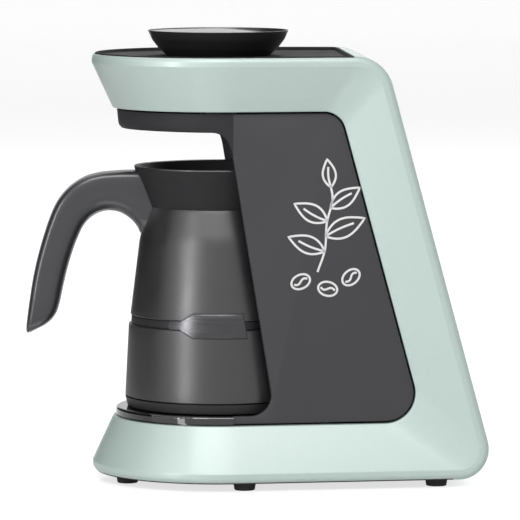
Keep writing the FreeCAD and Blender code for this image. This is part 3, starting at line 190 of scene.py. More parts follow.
# Outer frame: one hollow moulding in pearl mint plastic. Its flanks flare outwards to an upright
# band, and its head, back and base run into each other round the opening for the side panels.
POT_AXIS = -18.7
FRAME_TOP = 229.6
FRAME_FOOT = 4.2
BACK_AT_TOP = 85.0
TAPER = math.radians(5.5)
SLANT = math.radians(15.2)


def rounded(corners, steps=8, closed=False, runs=1):
    """A line through corners (x, y, radius): straight runs, each cut into runs pieces, joined by
    arcs that touch both neighbours, each an even turn of its centre's radius."""
    corners = np.array([(*corner, 0.0)[:3] for corner in corners], float)
    count = len(corners)
    arcs = []
    for i, (x, y, radius) in enumerate(corners):
        here = np.array([x, y])
        if radius <= 0 or (not closed and i in (0, count - 1)):
            arcs.append(here[None])
            continue
        before = corners[i - 1, :2] - here
        after = corners[(i + 1) % count, :2] - here
        before, after = before / np.hypot(*before), after / np.hypot(*after)
        half = math.acos(np.clip(before @ after, -1, 1)) / 2
        middle = (before + after) / np.hypot(*(before + after))
        centre = here + middle * radius / math.sin(half)
        start = here + before * radius / math.tan(half) - centre
        sense = np.sign(before[1] * after[0] - before[0] * after[1])
        angle = np.linspace(0, math.pi - 2 * half, steps + 1) * sense
        arcs.append(centre + np.stack([start[0] * np.cos(angle) - start[1] * np.sin(angle),
                                       start[0] * np.sin(angle) + start[1] * np.cos(angle)], 1))
    line = [arcs[0]]
    part = np.linspace(0, 1, runs + 1)[1:-1, None]
    for arc in arcs[1:] + ([arcs[0][:1]] if closed else []):
        line.append(line[-1][-1] * (1 - part) + arc[0] * part)
        line.append(arc)
    line = np.concatenate(line)
    return line[:-1] if closed else line


def capped_faces(rows, columns, start=0):
    """The faces of a grid whose columns wrap, with a flat face over its first and last row."""
    first = np.arange(columns) + start
    caps = [first.tolist(), (first + (rows - 1) * columns).tolist()]
    return grid_faces(rows, columns, wrap_columns=True, start=start) + caps


def put_mesh(name, points, faces, body, stands_for=(), slot=None, material=None, crisp=32):
    """A piece from points in mm about the pot axis: doubles merged, faces turned outwards, and
    shaded smooth except at edges sharper than crisp degrees."""
    mesh = bpy.data.meshes.new(name)
    shifted = (points.reshape(-1, 3) + (POT_AXIS, 0, 0)) / 1000
    mesh.from_pydata(shifted.tolist(), [], faces)
    work = bmesh.new()
    work.from_mesh(mesh)
    bmesh.ops.remove_doubles(work, verts=work.verts, dist=2e-6)
    bmesh.ops.dissolve_degenerate(work, edges=work.edges, dist=1e-7)
    bmesh.ops.recalc_face_normals(work, faces=work.faces)
    work.to_mesh(mesh)
    work.free()
    mesh.shade_smooth()
    mesh.set_sharp_from_angle(angle=math.radians(crisp))
    piece = bpy.data.objects.new(name, mesh)
    scene.collection.objects.link(piece)
    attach(piece, body)
    if stands_for:
        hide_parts(*stands_for)
    if material:
        mesh.materials.append(material)
    return piece


def back_x(height, depth=0.0):
    """How far the back, or a line at a depth inside it, stands behind the pot axis: its distance
    at the top, and the slant's tangent times the drop from there."""
    return BACK_AT_TOP + (FRAME_TOP - height) * math.tan(SLANT) - depth / math.cos(SLANT)


def on_side(along, height, reach):
    """Points on the near side: an upright plane at a reach from the pot axis, turned in by the
    taper, at a distance along it behind the axis."""
    return np.stack([reach * math.sin(TAPER) + along * math.cos(TAPER),
                     -(reach * math.cos(TAPER) - along * math.sin(TAPER)),
                     height + 0 * along], axis=-1)


def along_at(x, reach):
    """The distance along a side plane at which it is x behind the pot axis."""
    return (x - reach * math.sin(TAPER)) / math.cos(TAPER)


def side_line(reach, depth, first=0.0, last=0.0):
    """The C in the side plane at one reach and one depth inside its outline, from a distance
    first along the plane: the top run, the shoulder, the back, the heel and the bottom run, which
    ends at a distance last."""
    shoulder = np.interp(depth, [0, 5.3, 29.5], [21, 15.7, 12])
    heel = np.interp(depth, [0, 5.3, 29.5], [16, 10.7, 16])
    top, bottom = FRAME_TOP - depth, FRAME_FOOT + depth
    line = rounded([(first, top), (along_at(back_x(top, depth), reach), top, shoulder),
                    (along_at(back_x(bottom, depth), reach), bottom, heel), (last, bottom)],
                   steps=20, runs=18)
    return on_side(line[:, 0], line[:, 1], reach)


def c_line(reach, depth):
    """The near half of the C: an arc about the pot axis at the top, the line in the side plane,
    and the same arc at the bottom."""
    turn = np.linspace(0, math.pi / 2 + TAPER, 57)[:-1]
    arc = np.stack([-reach * np.cos(turn), -reach * np.sin(turn), 0 * turn], axis=-1)
    return np.concatenate([arc + (0, 0, FRAME_TOP - depth), side_line(reach, depth),
                           arc[::-1] + (0, 0, FRAME_FOOT + depth)])


# The wall's section is given by reach, depth inside the C's outline and corner radius. Carried
# along both halves of the C, it makes the flanks, the band and the turned-in rim.
RIM_REACH = 66.4
section = rounded([
    (52.3, 29.5), (56.8, 29.5, 0.7), (68.0, 5.3, 1.6), (68.0, 2.3, 3.6), (RIM_REACH, 0.0, 0.3),
    (RIM_REACH, 2.3), (63.6, 2.3), (63.6, 4.1), (65.4, 5.0), (54.3, 28.2), (52.3, 28.2),
], steps=6, closed=True)
near = np.stack([c_line(reach, depth) for reach, depth in section], axis=1)
ring = np.concatenate([near, (near * (1, -1, 1))[-2:0:-1]])
faces = grid_faces(*ring.shape[:2], wrap_rows=True, wrap_columns=True)
frame_shell = put_mesh("frame_shell", ring, faces, "machine", ["outer_frame"], "mint_shell")

# The back is a sheet between the two rims, from behind the deck round to under the heel.
SHEET = 2.2
span = [along_at(68.6, RIM_REACH), along_at(122.5, RIM_REACH)]
outside, inside = (side_line(RIM_REACH, depth, *span)[:, None] for depth in (0.0, SHEET))
across = np.linspace(1, -1, 9)[None, :, None]
slab = np.concatenate([outside * (1, 0, 1) + outside * (0, 1, 0) * across,
                       inside * (1, 0, 1) + inside * (0, 1, 0) * across[:, ::-1]], axis=1)
frame_back = put_mesh("frame_back", slab, capped_faces(*slab.shape[:2]), "machine",
                      slot="mint_shell")

# The cord's gland stands in a round hole in the heel of the back.
GLAND_HEIGHT, GLAND_HOLE = 20.5, 6.8
turn = np.linspace(0, 2 * np.pi, 48, endpoint=False)[None, :]
from_to = np.array([90.0, 170.0])[:, None]
drill = np.stack([from_to + 0 * turn, GLAND_HOLE * np.cos(turn) + 0 * from_to,
                  GLAND_HEIGHT + GLAND_HOLE * np.sin(turn) + 0 * from_to], axis=-1)
cutter = put_mesh("gland_hole", drill, capped_faces(*drill.shape[:2]), "machine")
hole = frame_back.modifiers.new("gland_hole", "BOOLEAN")
hole.object = cutter
hole.solver = "EXACT"
bored = frame_back.evaluated_get(bpy.context.evaluated_depsgraph_get())
drilled = bpy.data.meshes.new_from_object(bored)
frame_back.modifiers.clear()
frame_back.data = drilled
bpy.data.objects.remove(cutter)


def noise(tree, scale, detail=2.0, stretch=(1, 1, 1)):
    """A noise texture on the object's own coordinates, stretched along its axes."""
    place = tree.nodes.new("ShaderNodeTexCoord")
    turn = tree.nodes.new("ShaderNodeMapping")
    turn.inputs["Scale"].default_value = stretch
    grain = tree.nodes.new("ShaderNodeTexNoise")
    grain.inputs["Scale"].default_value = scale
    grain.inputs["Detail"].default_value = detail
    tree.links.new(place.outputs["Object"], turn.inputs["Vector"])
    tree.links.new(turn.outputs["Vector"], grain.inputs["Vector"])
    return grain.outputs["Fac"]


def remap(tree, value, low, high, from_low=0.3, from_high=0.7):
    """A noise's middle range spread between two numbers."""
    node = tree.nodes.new("ShaderNodeMapRange")
    node.inputs["From Min"].default_value = from_low
    node.inputs["From Max"].default_value = from_high
    node.inputs["To Min"].default_value = low
    node.inputs["To Max"].default_value = high
    tree.links.new(value, node.inputs["Value"])
    return node.outputs["Result"]


def two_tone(tree, shader, value, one, other):
    """The base colour between two tones, as a value goes from 0 to 1."""
    node = tree.nodes.new("ShaderNodeMix")
    node.data_type = "RGBA"
    node.inputs["A"].default_value = one
    node.inputs["B"].default_value = other
    tree.links.new(value, node.inputs["Factor"])
    tree.links.new(node.outputs["Result"], shader.inputs["Base Color"])


def relief(tree, shader, value, depth):
    """A bump of a depth in mm, as high as the value says."""
    node = tree.nodes.new("ShaderNodeBump")
    node.inputs["Distance"].default_value = depth / 1000
    tree.links.new(value, node.inputs["Height"])
    tree.links.new(node.outputs["Normal"], shader.inputs["Normal"])


mint, tree, shader = new_material("pearl_mint")
flake = remap(tree, noise(tree, 2600, 1.0), 0, 1, 0.35, 0.65)
two_tone(tree, shader, flake, tint(181, 199, 193), tint(189, 206, 200))
tree.links.new(remap(tree, noise(tree, 1400, 1.0), 0.46, 0.5), shader.inputs["Roughness"])
relief(tree, shader, noise(tree, 420, 1.0), 0.002)
shader.inputs["Metallic"].default_value = 0.1
shader.inputs["Specular IOR Level"].default_value = 1.0
shader.inputs["Coat Weight"].default_value = 0.5
shader.inputs["Coat Roughness"].default_value = 0.2
frame_shell.data.materials.append(mint)
frame_back.data.materials.append(mint)


# Plastic parts that keep their moulded shape: each gets a fine grain, a slight drift of tone and
# of gloss, as moulded plastic has, and a colour of its own.
def moulded(name, dark, light, gloss, grain=900, depth=0.006, coat=0.0, shine=0.5):
    """Moulded plastic: two near tones, a roughness that drifts by a fourteenth either way, and a
    fine grain."""
    material, tree, shader = new_material(name)
    two_tone(tree, shader, remap(tree, noise(tree, 35, 3.0), 0, 1), tint(*dark), tint(*light))
    tree.links.new(remap(tree, noise(tree, 90, 2.0), gloss * 0.93, gloss * 1.07),
                   shader.inputs["Roughness"])
    relief(tree, shader, noise(tree, grain, 2.0), depth)
    shader.inputs["Specular IOR Level"].default_value = shine
    shader.inputs["Coat Weight"].default_value = coat
    shader.inputs["Coat Roughness"].default_value = 0.05
    return material


def dress(material, *nodes):
    """Gives the meshes of some nodes one material, and leaves their shapes as they are."""
    for node in nodes:
        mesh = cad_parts[node].data
        mesh.materials.clear()
        mesh.materials.append(material)


dress(moulded("bay_charcoal", (34, 34, 36), (37, 37, 39), 0.4), "pot_bay")
dress(moulded("stem_white", (222, 221, 214), (230, 229, 222), 0.4), "button_stem")
dress(moulded("stand_black", (12, 12, 13), (16, 16, 17), 0.08, coat=1.0), "stand_disc")
dress(moulded("under_black", (26, 26, 27), (31, 31, 32), 0.5), "bottom_plate", "base_connector",
      "pot_socket", "pot_base", "cord_gland", "cord_clamp", "head_wires")
dress(moulded("foot_rubber", (24, 24, 25), (30, 30, 31), 0.8, 500, 0.02),
      *[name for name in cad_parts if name.endswith("_foot")])
dress(moulded("board_green", (24, 84, 50), (30, 92, 56), 0.3), "control_board", "sensor_board",
      "power_board")
dress(moulded("part_black", (30, 30, 31), (36, 36, 37), 0.45), "tact_switch", "buzzer", "relay",
      "supply_block")
dress(moulded("capacitor_yellow", (204, 168, 52), (214, 178, 60), 0.4), "filter_capacitor")
dress(moulded("terminal_white", (214, 212, 204), (224, 222, 214), 0.45), "terminal_block")
dress(moulded("window_red", (34, 12, 14), (40, 14, 16), 0.08, coat=1.0), "sensor_window")


# Metal parts that keep their shape: drawn springs and screws, stamped contacts, and the cast
# heater under the pot. Each shows the marks of its tool, in its tone, its gloss and its relief.
def worked_metal(name, dark, light, gloss, scratch=(60, 60, 2600), depth=0.003):
    """Bare metal: one noise, drawn out across the axis of the largest scratch number, sets the
    tone, the roughness and the bump."""
    material, tree, shader = new_material(name)
    marks = noise(tree, 1.0, 3.0, scratch)
    two_tone(tree, shader, remap(tree, marks, 0, 1), tint(*dark), tint(*light))
    tree.links.new(remap(tree, marks, gloss * 0.85, gloss * 1.15), shader.inputs["Roughness"])
    relief(tree, shader, marks, depth)
    shader.inputs["Metallic"].default_value = 1.0
    return material


dress(worked_metal("spring_steel", (150, 150, 150), (170, 170, 170), 0.3), "button_spring",
      "stem_clip", "deck_screws", "bottom_screws", "heating_element", "thermal_cutout")
dress(worked_metal("cast_aluminium", (178, 179, 180), (190, 191, 192), 0.5, (400, 400, 400)),
      "heater_plate")
dress(worked_metal("contact_brass", (196, 160, 84), (212, 176, 98), 0.28), "connector_contacts",
      "socket_contacts")


# Side panels: flat satin plates in the opening of the C, with a leaning front edge, round corners
# and lightly rounded edges. They stand one millimetre clear of the frame all round.
PANEL_TOP, PANEL_FOOT = 199.1, 34.7
SILL = 38.7
CEILING = 189.1
PANEL_INSIDE, PANEL_FACE = 52.0, 54.5
PANEL_DEPTH = 30.5
FRONT_LEAN = math.radians(9.2)
NEAR_SIDE, FAR_SIDE = 1, -1


def plate_along(x):
    """The distance along a panel's inner face at which it is x behind the pot axis."""
    return along_at(x, PANEL_INSIDE)


# Under the head the front edge turns forwards in a throat: a curve with one control point, from
# the ceiling down to the leaning edge.
part = np.linspace(0, 1, 41)
throat_along = -11.6 * (1 - part) ** 2 - 2.1 * 2 * part * (1 - part) + 0.1 * part ** 2
throat_height = CEILING - 13.8 * part ** 2
wing_foot = 2.9 + (CEILING - SILL) * math.tan(FRONT_LEAN)
plate = rounded([
    (0.0, PANEL_TOP),
    (plate_along(back_x(PANEL_TOP, PANEL_DEPTH)), PANEL_TOP, 11.0),
    (plate_along(back_x(PANEL_FOOT, PANEL_DEPTH)), PANEL_FOOT, 15.0),
    (0.0, PANEL_FOOT), (0.0, SILL), (plate_along(wing_foot), SILL, 11.0),
    (throat_along[-1], throat_height[-1]), (0.0, np.interp(0.0, throat_along, throat_height)),
], steps=20, closed=True, runs=4)
run = np.roll(plate, -1, axis=0) - np.roll(plate, 1, axis=0)
inward = np.stack([run[:, 1], -run[:, 0]], axis=1) / np.hypot(*run.T)[:, None]
inward[:, 0] = np.where(plate[:, 0] < 0.5, 0.0, inward[:, 0])
layers = [(0.0, PANEL_INSIDE), (0.0, 53.9), (0.08, 54.2), (0.28, 54.42), (0.6, PANEL_FACE)]
sheets = np.stack([on_side(*(plate + inset * inward).T, reach) for inset, reach in layers])
charcoal = moulded("panel_charcoal", (55, 54, 57), (57, 56, 59), 0.46, depth=0.003)
for name, node, side in (("left_panel_plate", "left_side_panel", NEAR_SIDE),
                         ("right_panel_plate", "right_side_panel", FAR_SIDE)):
    put_mesh(name, sheets * (1, side, 1), capped_faces(*sheets.shape[:2]), "machine", [node],
             "panel_charcoal", charcoal)


# Head: the dark round front that closes the head under the frame, with a softly rounded lower
# edge that sharpens towards the side panels, and the ceiling over the pot with its window's hole.
THROAT_TURN = 0.23
quarter = np.concatenate([np.linspace(0, THROAT_TURN, 60),
                          np.linspace(0.24, math.pi / 2 + TAPER, 70)])
turn = np.concatenate([quarter - quarter[-1], (quarter[-1] - quarter)[-2::-1]])
gone = np.concatenate([quarter, quarter[-2::-1]])
front = np.clip((gone - THROAT_TURN) / 0.6, 0, 1)
front = (front * front * (3 - 2 * front))[:, None]
throat = np.interp(-PANEL_FACE * np.sin(np.minimum(gone, 1.5)), throat_along, throat_height)
# The section has nine points, from the top down the outside, round the lower edge and back up
# inside. It goes from the soft one at the front to the sharp one at the panels.
soft_inset = [0.0, 0.35, 0.75, 1.3, 2.3, 4.4, 4.4, 2.5, 2.5]
soft_height = [PANEL_TOP, 195.4, 191.8, 190.3, 189.4, CEILING, 192.0, 192.0, PANEL_TOP]
sharp_inset = np.array([0.0, 0.0, 0.08, 0.28, 0.6, 2.5, 2.5, 2.5, 2.5])
sharp_height = throat[:, None] + [0, 4.6, 0.6, 0.28, 0.08, 0, 0.1, 0.2, 0]
inset = front * soft_inset + (1 - front) * sharp_inset
height = front * soft_height + (1 - front) * sharp_height
height[:, [0, 8]] = PANEL_TOP
radius = PANEL_FACE - inset
nose = np.stack([-radius * np.cos(turn)[:, None], radius * np.sin(turn)[:, None], height], -1)
head_charcoal = moulded("head_charcoal", (46, 46, 48), (48, 48, 50), 0.6, depth=0.003, shine=0.2)
put_mesh("head_front", nose, capped_faces(*nose.shape[:2]), "machine", ["head_housing"],
         "housing_dark", head_charcoal)


def lathe(profile, steps=160):
    """A closed outline of radii and heights carried round the pot axis: each point of it becomes
    a circle, and neighbouring circles are joined all the way round."""
    turn = np.linspace(0, 2 * np.pi, steps, endpoint=False)[:, None]
    radius, height = profile[None, :, 0], profile[None, :, 1]
    points = np.stack([radius * np.cos(turn), radius * np.sin(turn), height + 0 * turn], axis=-1)
    return points, grid_faces(steps, len(profile), wrap_rows=True, wrap_columns=True)


ceiling = rounded([(8.3, 189.3, 0.2), (52.3, 189.3), (52.3, 191.5), (8.3, 191.5)], closed=True)
put_mesh("head_ceiling", *lathe(ceiling), "machine", slot="housing_dark", material=head_charcoal)


# Deck: the matt tray let into the top of the head. Its round front and its tapered sides lie
# inside the frame's rim, its back edge is straight, and a low wall runs round its edge.
def tongue(reach, end, corner):
    """The plan of the deck: half a circle about the pot axis and a little more, tapered sides
    that touch it, and a straight end with round corners."""
    turn = np.linspace(-(math.pi / 2 + TAPER), math.pi / 2 + TAPER, 64)
    nose = np.stack([-reach * np.cos(turn), reach * np.sin(turn)], axis=1)
    half = reach * math.cos(TAPER) - along_at(end, reach) * math.sin(TAPER)
    tail = rounded([nose[-1], (end, half, corner), (end, -half, corner), nose[0]], steps=10)
    return np.concatenate([nose, tail[1:-1]])


DECK_REACH, DECK_END, DECK_CORNER = 66.2, 68.2, 4.0
layers = np.array([  # inset from the deck's outline, height
    (0.0, 227.4), (0.0, 229.2), (0.12, 229.45), (0.45, FRAME_TOP), (0.9, 229.45), (1.1, 229.1),
    (1.5, 228.0), (2.1, 227.75),
])
deck = np.stack([tongue(DECK_REACH - inset, DECK_END - inset, DECK_CORNER)
                 for inset in layers[:, 0]])
deck = np.concatenate([deck, layers[:, 1, None, None] + 0 * deck[..., :1]], axis=-1)
deck_charcoal = moulded("deck_charcoal", (36, 36, 37), (40, 40, 41), 0.7, shine=0.15)
put_mesh("deck_plate", deck, capped_faces(*deck.shape[:2]), "machine", ["top_deck"], "deck_dark",
         deck_charcoal)


# Control pod: a glossy black bowl that stands on the deck, moulded thin at its lip and open below
# for the button's stem. Its outline is given by radius, height and corner radius.
bowl = rounded([
    (4.9, 233.4, 0.2), (4.9, 231.3), (26.2, 231.3), (26.2, 227.7), (27.6, 227.7, 0.3),
    (32.2, 231.9, 9), (35.8, 236.6, 12), (37.9, 241.4, 0.2), (37.5, 241.4, 0.15),
    (35.3, 236.9, 10), (31.4, 233.4, 2),
], closed=True)
pod_black = moulded("pod_black", (40, 40, 41), (43, 43, 44), 0.3, coat=0.4)
put_mesh("pod_bowl", *lathe(bowl), "machine", ["control_pod"], "pod_black", pod_black)


# Start button: a glossy light disc that fills the bowl. Its face is slightly crowned. It dips and
# draws in towards the back, where the bowl's lip stands clear of it.
BUTTON_RADIUS = 36.4
BUTTON_TOP, BUTTON_UNDER = 241.0, 237.0
turn = np.linspace(0, 2 * np.pi, 128, endpoint=False)[None, :]
edge = [0, 20, 33.0, 34.2, 35.5, 36.3, 36.4, 36.3, 36.0, 35, 32, 28, 24, 20, 15, 10, 5, 0]
lift = [0, 0, 0, 0.25, 0.7, 0.9, 0.94, 0.975, 0.99, 1, 1, 1, 1, 1, 1, 1, 1, 1]
edge, lift = np.array(edge)[:, None], np.array(lift)[:, None]
back = np.clip(edge * np.cos(turn) / BUTTON_RADIUS, 0, 1) ** 1.6
reach = edge * (0.996 - 0.034 * back)
face = BUTTON_TOP - 2.4 * back + 0.4 * (1 - (edge / BUTTON_RADIUS) ** 2)
disc = np.stack([reach * np.cos(turn), reach * np.sin(turn),
                 BUTTON_UNDER + lift * (face - BUTTON_UNDER)], axis=-1)
button_grey = moulded("button_grey", (140, 141, 142), (146, 147, 148), 0.2, coat=0.6)
put_mesh("button_disc", disc, grid_faces(*disc.shape[:2], wrap_columns=True), "button",
         ["start_button"], "button_light", button_grey)


# Pot: a satin charcoal shell that leans in to a shoulder and a neck, with a groove round it, and
# above it a matt collar that flares to the rim. Both are turned shells.
POT_STEPS = 224
shell = rounded([
    (48.4, 44.8, 0.3), (50.4, 44.8, 0.5), (48.4, 83.4, 0.5), (46.5, 83.6, 0.2), (46.5, 88.3, 0.2),
    (47.5, 88.5, 0.5), (42.3, 130.2, 48), (37.3, 146.7, 0.1), (35.0, 146.7, 0.1), (40.0, 129.6, 14),
    (45.0, 88.0), (46.0, 78.0),
], closed=True, runs=6)
pot_charcoal = moulded("pot_charcoal", (31, 31, 32), (34, 34, 35), 0.37, depth=0.003, shine=0.9)
put_mesh("shell_skin", *lathe(shell, POT_STEPS), "pot", ["pot_shell"], "pot_charcoal",
         pot_charcoal)
collar = rounded([
    (35.0, 146.75, 0.1), (37.35, 146.75, 0.1), (45.1, 167.2, 0.6), (45.3, 168.2, 0.3),
    (43.9, 168.2, 0.3),
], closed=True, runs=4)
collar_charcoal = moulded("collar_charcoal", (26, 26, 28), (29, 29, 31), 0.66, shine=0.35)
put_mesh("collar_skin", *lathe(collar, POT_STEPS), "pot", ["pot_collar"], "collar_charcoal",
         collar_charcoal)


# Liner: the drawn steel inside of the pot, with its dark coat. It hangs from its bare edge, which
# is rolled over the rim of the collar.
liner = rounded([
    (0.0, 57.7), (43.2, 57.7, 7), (45.2, 70.0, 8), (44.1, 88.5), (38.8, 130.2, 14),
    (34.8, 146.9, 3), (43.0, 168.1, 0.4), (44.6, 168.3, 0.2), (44.6, 168.65, 0.2),
    (42.9, 168.6, 1.0), (34.0, 146.9, 3.5), (38.0, 130.2, 14), (43.3, 88.5), (44.4, 70.0, 8),
    (42.6, 58.5, 6), (0.0, 58.5),
], closed=True, runs=4)
liner_coat = moulded("liner_coat", (60, 60, 62), (64, 64, 66), 0.42, 1600, 0.002)
put_mesh("liner_skin", *lathe(liner, 192), "pot", ["pot_liner"], "liner_steel", liner_coat)
ROLL_RADIUS = 0.38
turn = np.linspace(0, 2 * np.pi, 12, endpoint=False)
roll = np.stack([np.cos(turn), np.sin(turn)], axis=1) * ROLL_RADIUS + (45.05, 168.3)
rim_steel = worked_metal("rim_steel", (92, 92, 94), (104, 104, 106), 0.3)
put_mesh("rim_roll", *lathe(roll, POT_STEPS), "pot", slot="liner_steel", material=rim_steel)


# Band: a dark ring in the pot's groove. In front it carries a polished tab and a plain window
# plate, which follow the skin of the pot and stand a hair proud of it.
BAND_HEIGHT = 86.0
TAB_END, WINDOW_END = -36.4, 14.0
TAB_HALF, WINDOW_HALF = 1.95, 6.35


def pot_radius(height):
    """The pot's outside at a height, from the seam to the rim: straight between the corners."""
    return np.interp(height, [44.2, 83.5, 88.5, 130.2, 146.7, 168.7],
                     [50.4, 48.4, 47.6, 42.3, 37.3, 45.3])


def band_plate(name, grow, proud, material):
    """A plate on the pot's front: its half height goes from the tab's to the window's between
    two angles, its other end leans, and its face curves back to the pot round its edge."""
    degrees = np.linspace(TAB_END - grow * 1.2, WINDOW_END + grow * 1.2, 145)
    half = np.interp(degrees, [degrees[0], -36.0, -35.0, -28.1, -19.0],
                     [0.3, 1.2, TAB_HALF, TAB_HALF, WINDOW_HALF]) + grow
    across = np.array([-1, -0.99, -0.97, -0.6, 0, 0.6, 0.97, 0.99, 1])
    raise_by = np.array([-1, 0.6, 1, 1, 1, 1, 1, 0.6, -1]) * proud
    height = BAND_HEIGHT + half[:, None] * across
    lean = 1.1 * across * np.clip(degrees / WINDOW_END, 0, 1)[:, None]
    angle = np.radians(degrees[:, None] - lean)
    out, deep = pot_radius(height) + raise_by, pot_radius(height) - 0.9
    front = np.stack([out * np.sin(angle), -out * np.cos(angle), height], axis=-1)
    back = np.stack([deep * np.sin(angle), -deep * np.cos(angle), height], axis=-1)
    plate = np.concatenate([front, back[:, ::-1]], axis=1)
    put_mesh(name, plate, capped_faces(*plate.shape[:2]), "pot", slot="band_chrome",
             material=material)


groove_ring = rounded([(45.8, 83.9, 0.1), (47.1, 83.9, 0.5), (46.9, 88.1, 0.5), (45.8, 88.1, 0.1)],
                      closed=True)
band_black = moulded("band_black", (14, 14, 15), (17, 17, 18), 0.5)
put_mesh("band_ring", *lathe(groove_ring, POT_STEPS), "pot", ["badge_band"], "band_chrome",
         band_black)
band_plate("badge_seat", 0.55, 0.12, band_black)
badge_steel = worked_metal("badge_steel", (74, 74, 76), (82, 82, 84), 0.26, (40, 40, 900), 0.001)
band_plate("badge_plate", 0.0, 0.2, badge_steel)


# Handle: one J-shaped moulding that grows out of the collar and the shoulder of the pot. Its side
# faces are flat, its outer edge is tight and its finger side is well rounded.
def smooth_run(points, steps):
    """A line through points that bends evenly: each run is the cubic that leaves a point in the
    direction between its two neighbours."""
    points = np.asarray(points, float)
    line = np.concatenate([2 * points[:1] - points[1:2], points, 2 * points[-1:] - points[-2:-1]])
    part = np.linspace(0, 1, steps, endpoint=False)[:, None]
    a, b, c, d = (line[i:len(line) - 3 + i][:, None, :] for i in range(4))
    curve = 0.5 * (2 * b + (c - a) * part + (2 * a - 5 * b + 4 * c - d) * part ** 2
                   + (3 * b - a - 3 * c + d) * part ** 3)
    return np.concatenate([curve.reshape(-1, points.shape[1]), points[-1:]])


grip = smooth_run([
    # outer x, outer height, inner x, inner height, half width
    (-43.5, 166.2, -42.0, 131.7, 10.0), (-48.0, 166.1, -44.2, 136.2, 10.0),
    (-53.0, 165.9, -47.7, 140.1, 10.0), (-58.5, 165.5, -52.8, 143.3, 10.0),
    (-64.4, 164.8, -58.6, 144.4, 10.0), (-71.6, 162.7, -63.9, 143.4, 10.0),
    (-78.8, 158.3, -68.9, 140.6, 10.0), (-84.2, 152.9, -72.4, 136.8, 10.0),
    (-88.2, 146.6, -74.8, 132.2, 10.0), (-92.4, 136.1, -77.6, 125.4, 10.0),
    (-96.6, 122.3, -80.8, 115.4, 9.9), (-99.8, 108.6, -83.4, 104.9, 9.8),
    (-102.0, 94.8, -85.7, 94.4, 9.5), (-103.2, 86.0, -87.9, 88.6, 8.8),
    (-103.7, 81.2, -92.0, 84.0, 7.4), (-103.5, 79.2, -97.6, 80.9, 5.2),
    (-102.6, 78.6, -100.4, 79.3, 2.4),
], 7)
outer, inner, half_width = grip[:, :2], grip[:, 2:4], grip[:, 4:]
# Its section is a rounded rectangle, the sine and cosine of a turn to a small power: a smaller
# one, and so a squarer corner, on the outer side than on the finger side.
OUTER_POWER, FINGER_POWER = 2 / 5.5, 2 / 2.4
turn = np.linspace(0, 2 * np.pi, 72, endpoint=False)
power = np.where(np.cos(turn) > 0, OUTER_POWER, FINGER_POWER)
lengthways = np.sign(np.cos(turn)) * np.abs(np.cos(turn)) ** power
sideways = np.sign(np.sin(turn)) * np.abs(np.sin(turn)) ** power
line = ((outer + inner) / 2)[:, None, :] + ((outer - inner) / 2)[:, None, :] * lengthways[:, None]
handle = np.stack([line[..., 0], half_width * sideways, line[..., 1]], axis=-1)
# The root is cut to the pot's round skin, and goes a little way into it.
seat = pot_radius(handle[0, :, 2]) - 0.8
handle[0, :, 0] = -np.sqrt(seat ** 2 - handle[0, :, 1] ** 2)
handle_charcoal = moulded("handle_charcoal", (54, 54, 57), (57, 57, 60), 0.3, depth=0.003,
                          coat=0.3)
put_mesh("handle_grip", handle, capped_faces(*handle.shape[:2]), "pot", ["pot_handle"],
         "handle_charcoal", handle_charcoal, crisp=50)


# Panel print: a sprig of coffee with leaves and three beans, in white lines a hair above each
# side panel. It is a plain ornament of common shapes.
PRINT_MIDDLE = (50.0, 139.0)
LINE_WIDTH = 1.15
PRINT_UNDER, PRINT_FACE = 54.4, 54.56


def placed(line, x, y, degrees):
    """A line turned about its own origin and moved to a point."""
    lean = math.radians(degrees)
    spin = np.array([[math.cos(lean), math.sin(lean)], [-math.sin(lean), math.cos(lean)]])
    return line @ spin + (x, y)


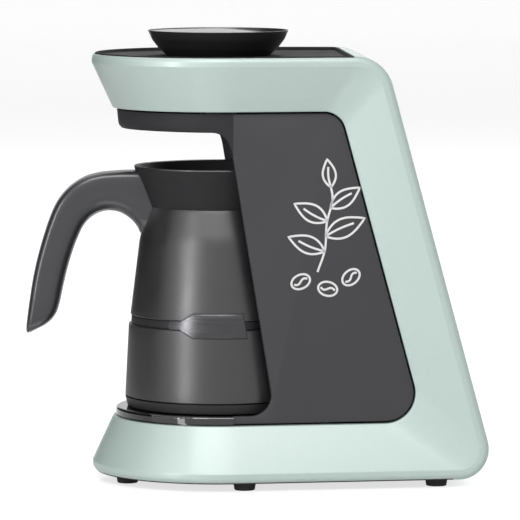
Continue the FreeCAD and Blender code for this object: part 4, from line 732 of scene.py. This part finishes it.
def leaf(x, y, degrees, length, width):
    """A leaf's outline from its root to its tip and back, each half an arch of a sine drawn
    towards the root, and the rib along its middle."""
    part = np.linspace(0, 1, 19)
    half = np.stack([part * length, width / 2 * np.sin(np.pi * part ** 0.85)], axis=1)
    outline = np.concatenate([half, (half * (1, -1))[-2::-1]])
    rib = np.stack([part * length * 0.72, 0.6 * np.sin(np.pi * part)], axis=1)
    return placed(outline, x, y, degrees), placed(rib, x, y, degrees)


def bean(x, y, degrees):
    """A bean: an oval, and one wave of a sine along it for its slit."""
    turn = np.linspace(0, 2 * np.pi, 33)
    oval = np.stack([5.2 * np.cos(turn), 3.7 * np.sin(turn)], axis=1)
    part = np.linspace(-1, 1, 15)
    slit = np.stack([3.9 * part, 0.9 * np.sin(np.pi * part)], axis=1)
    return placed(oval, x, y, degrees), placed(slit, x, y, degrees)


def ribbons(lines, side):
    """Flat strips along lines on a side panel: half the line width to either side of each line,
    from just under the panel's face to just above it."""
    points, faces, start = [], [], 0
    for line in lines:
        run = np.gradient(line, axis=0)
        across = np.stack([-run[:, 1], run[:, 0]], axis=1)
        across *= LINE_WIDTH / 2 / np.hypot(*run.T)[:, None]
        left, right = line + across + PRINT_MIDDLE, line - across + PRINT_MIDDLE
        ring = [on_side(edge[:, 0], edge[:, 1], reach) for edge, reach in
                ((left, PRINT_UNDER), (left, PRINT_FACE), (right, PRINT_FACE),
                 (right, PRINT_UNDER))]
        points.append(np.stack(ring, axis=1).reshape(-1, 3) * (1, side, 1))
        faces += capped_faces(len(line), 4, start)
        start += 4 * len(line)
    return np.concatenate(points), faces


strokes = [smooth_run([(-5, -24), (-1, -12), (0, 2), (3, 14), (2, 22)], 8)]
for place in [(-1.2, -13, 158, 21, 9), (-0.6, -5, 24, 23, 10), (0.2, 3, 152, 20, 9),
              (2.0, 10, 34, 19, 8.5), (2.2, 21, 98, 15, 7)]:
    strokes += leaf(*place)
for place in [(-14, -29, 24), (0.5, -33, -14), (13, -27, 38)]:
    strokes += bean(*place)
print_white = moulded("print_white", (226, 226, 226), (234, 234, 234), 0.5)
for name, side in (("left_panel_print", NEAR_SIDE), ("right_panel_print", FAR_SIDE)):
    put_mesh(name, *ribbons(strokes, side), "machine", slot="panel_charcoal",
             material=print_white)
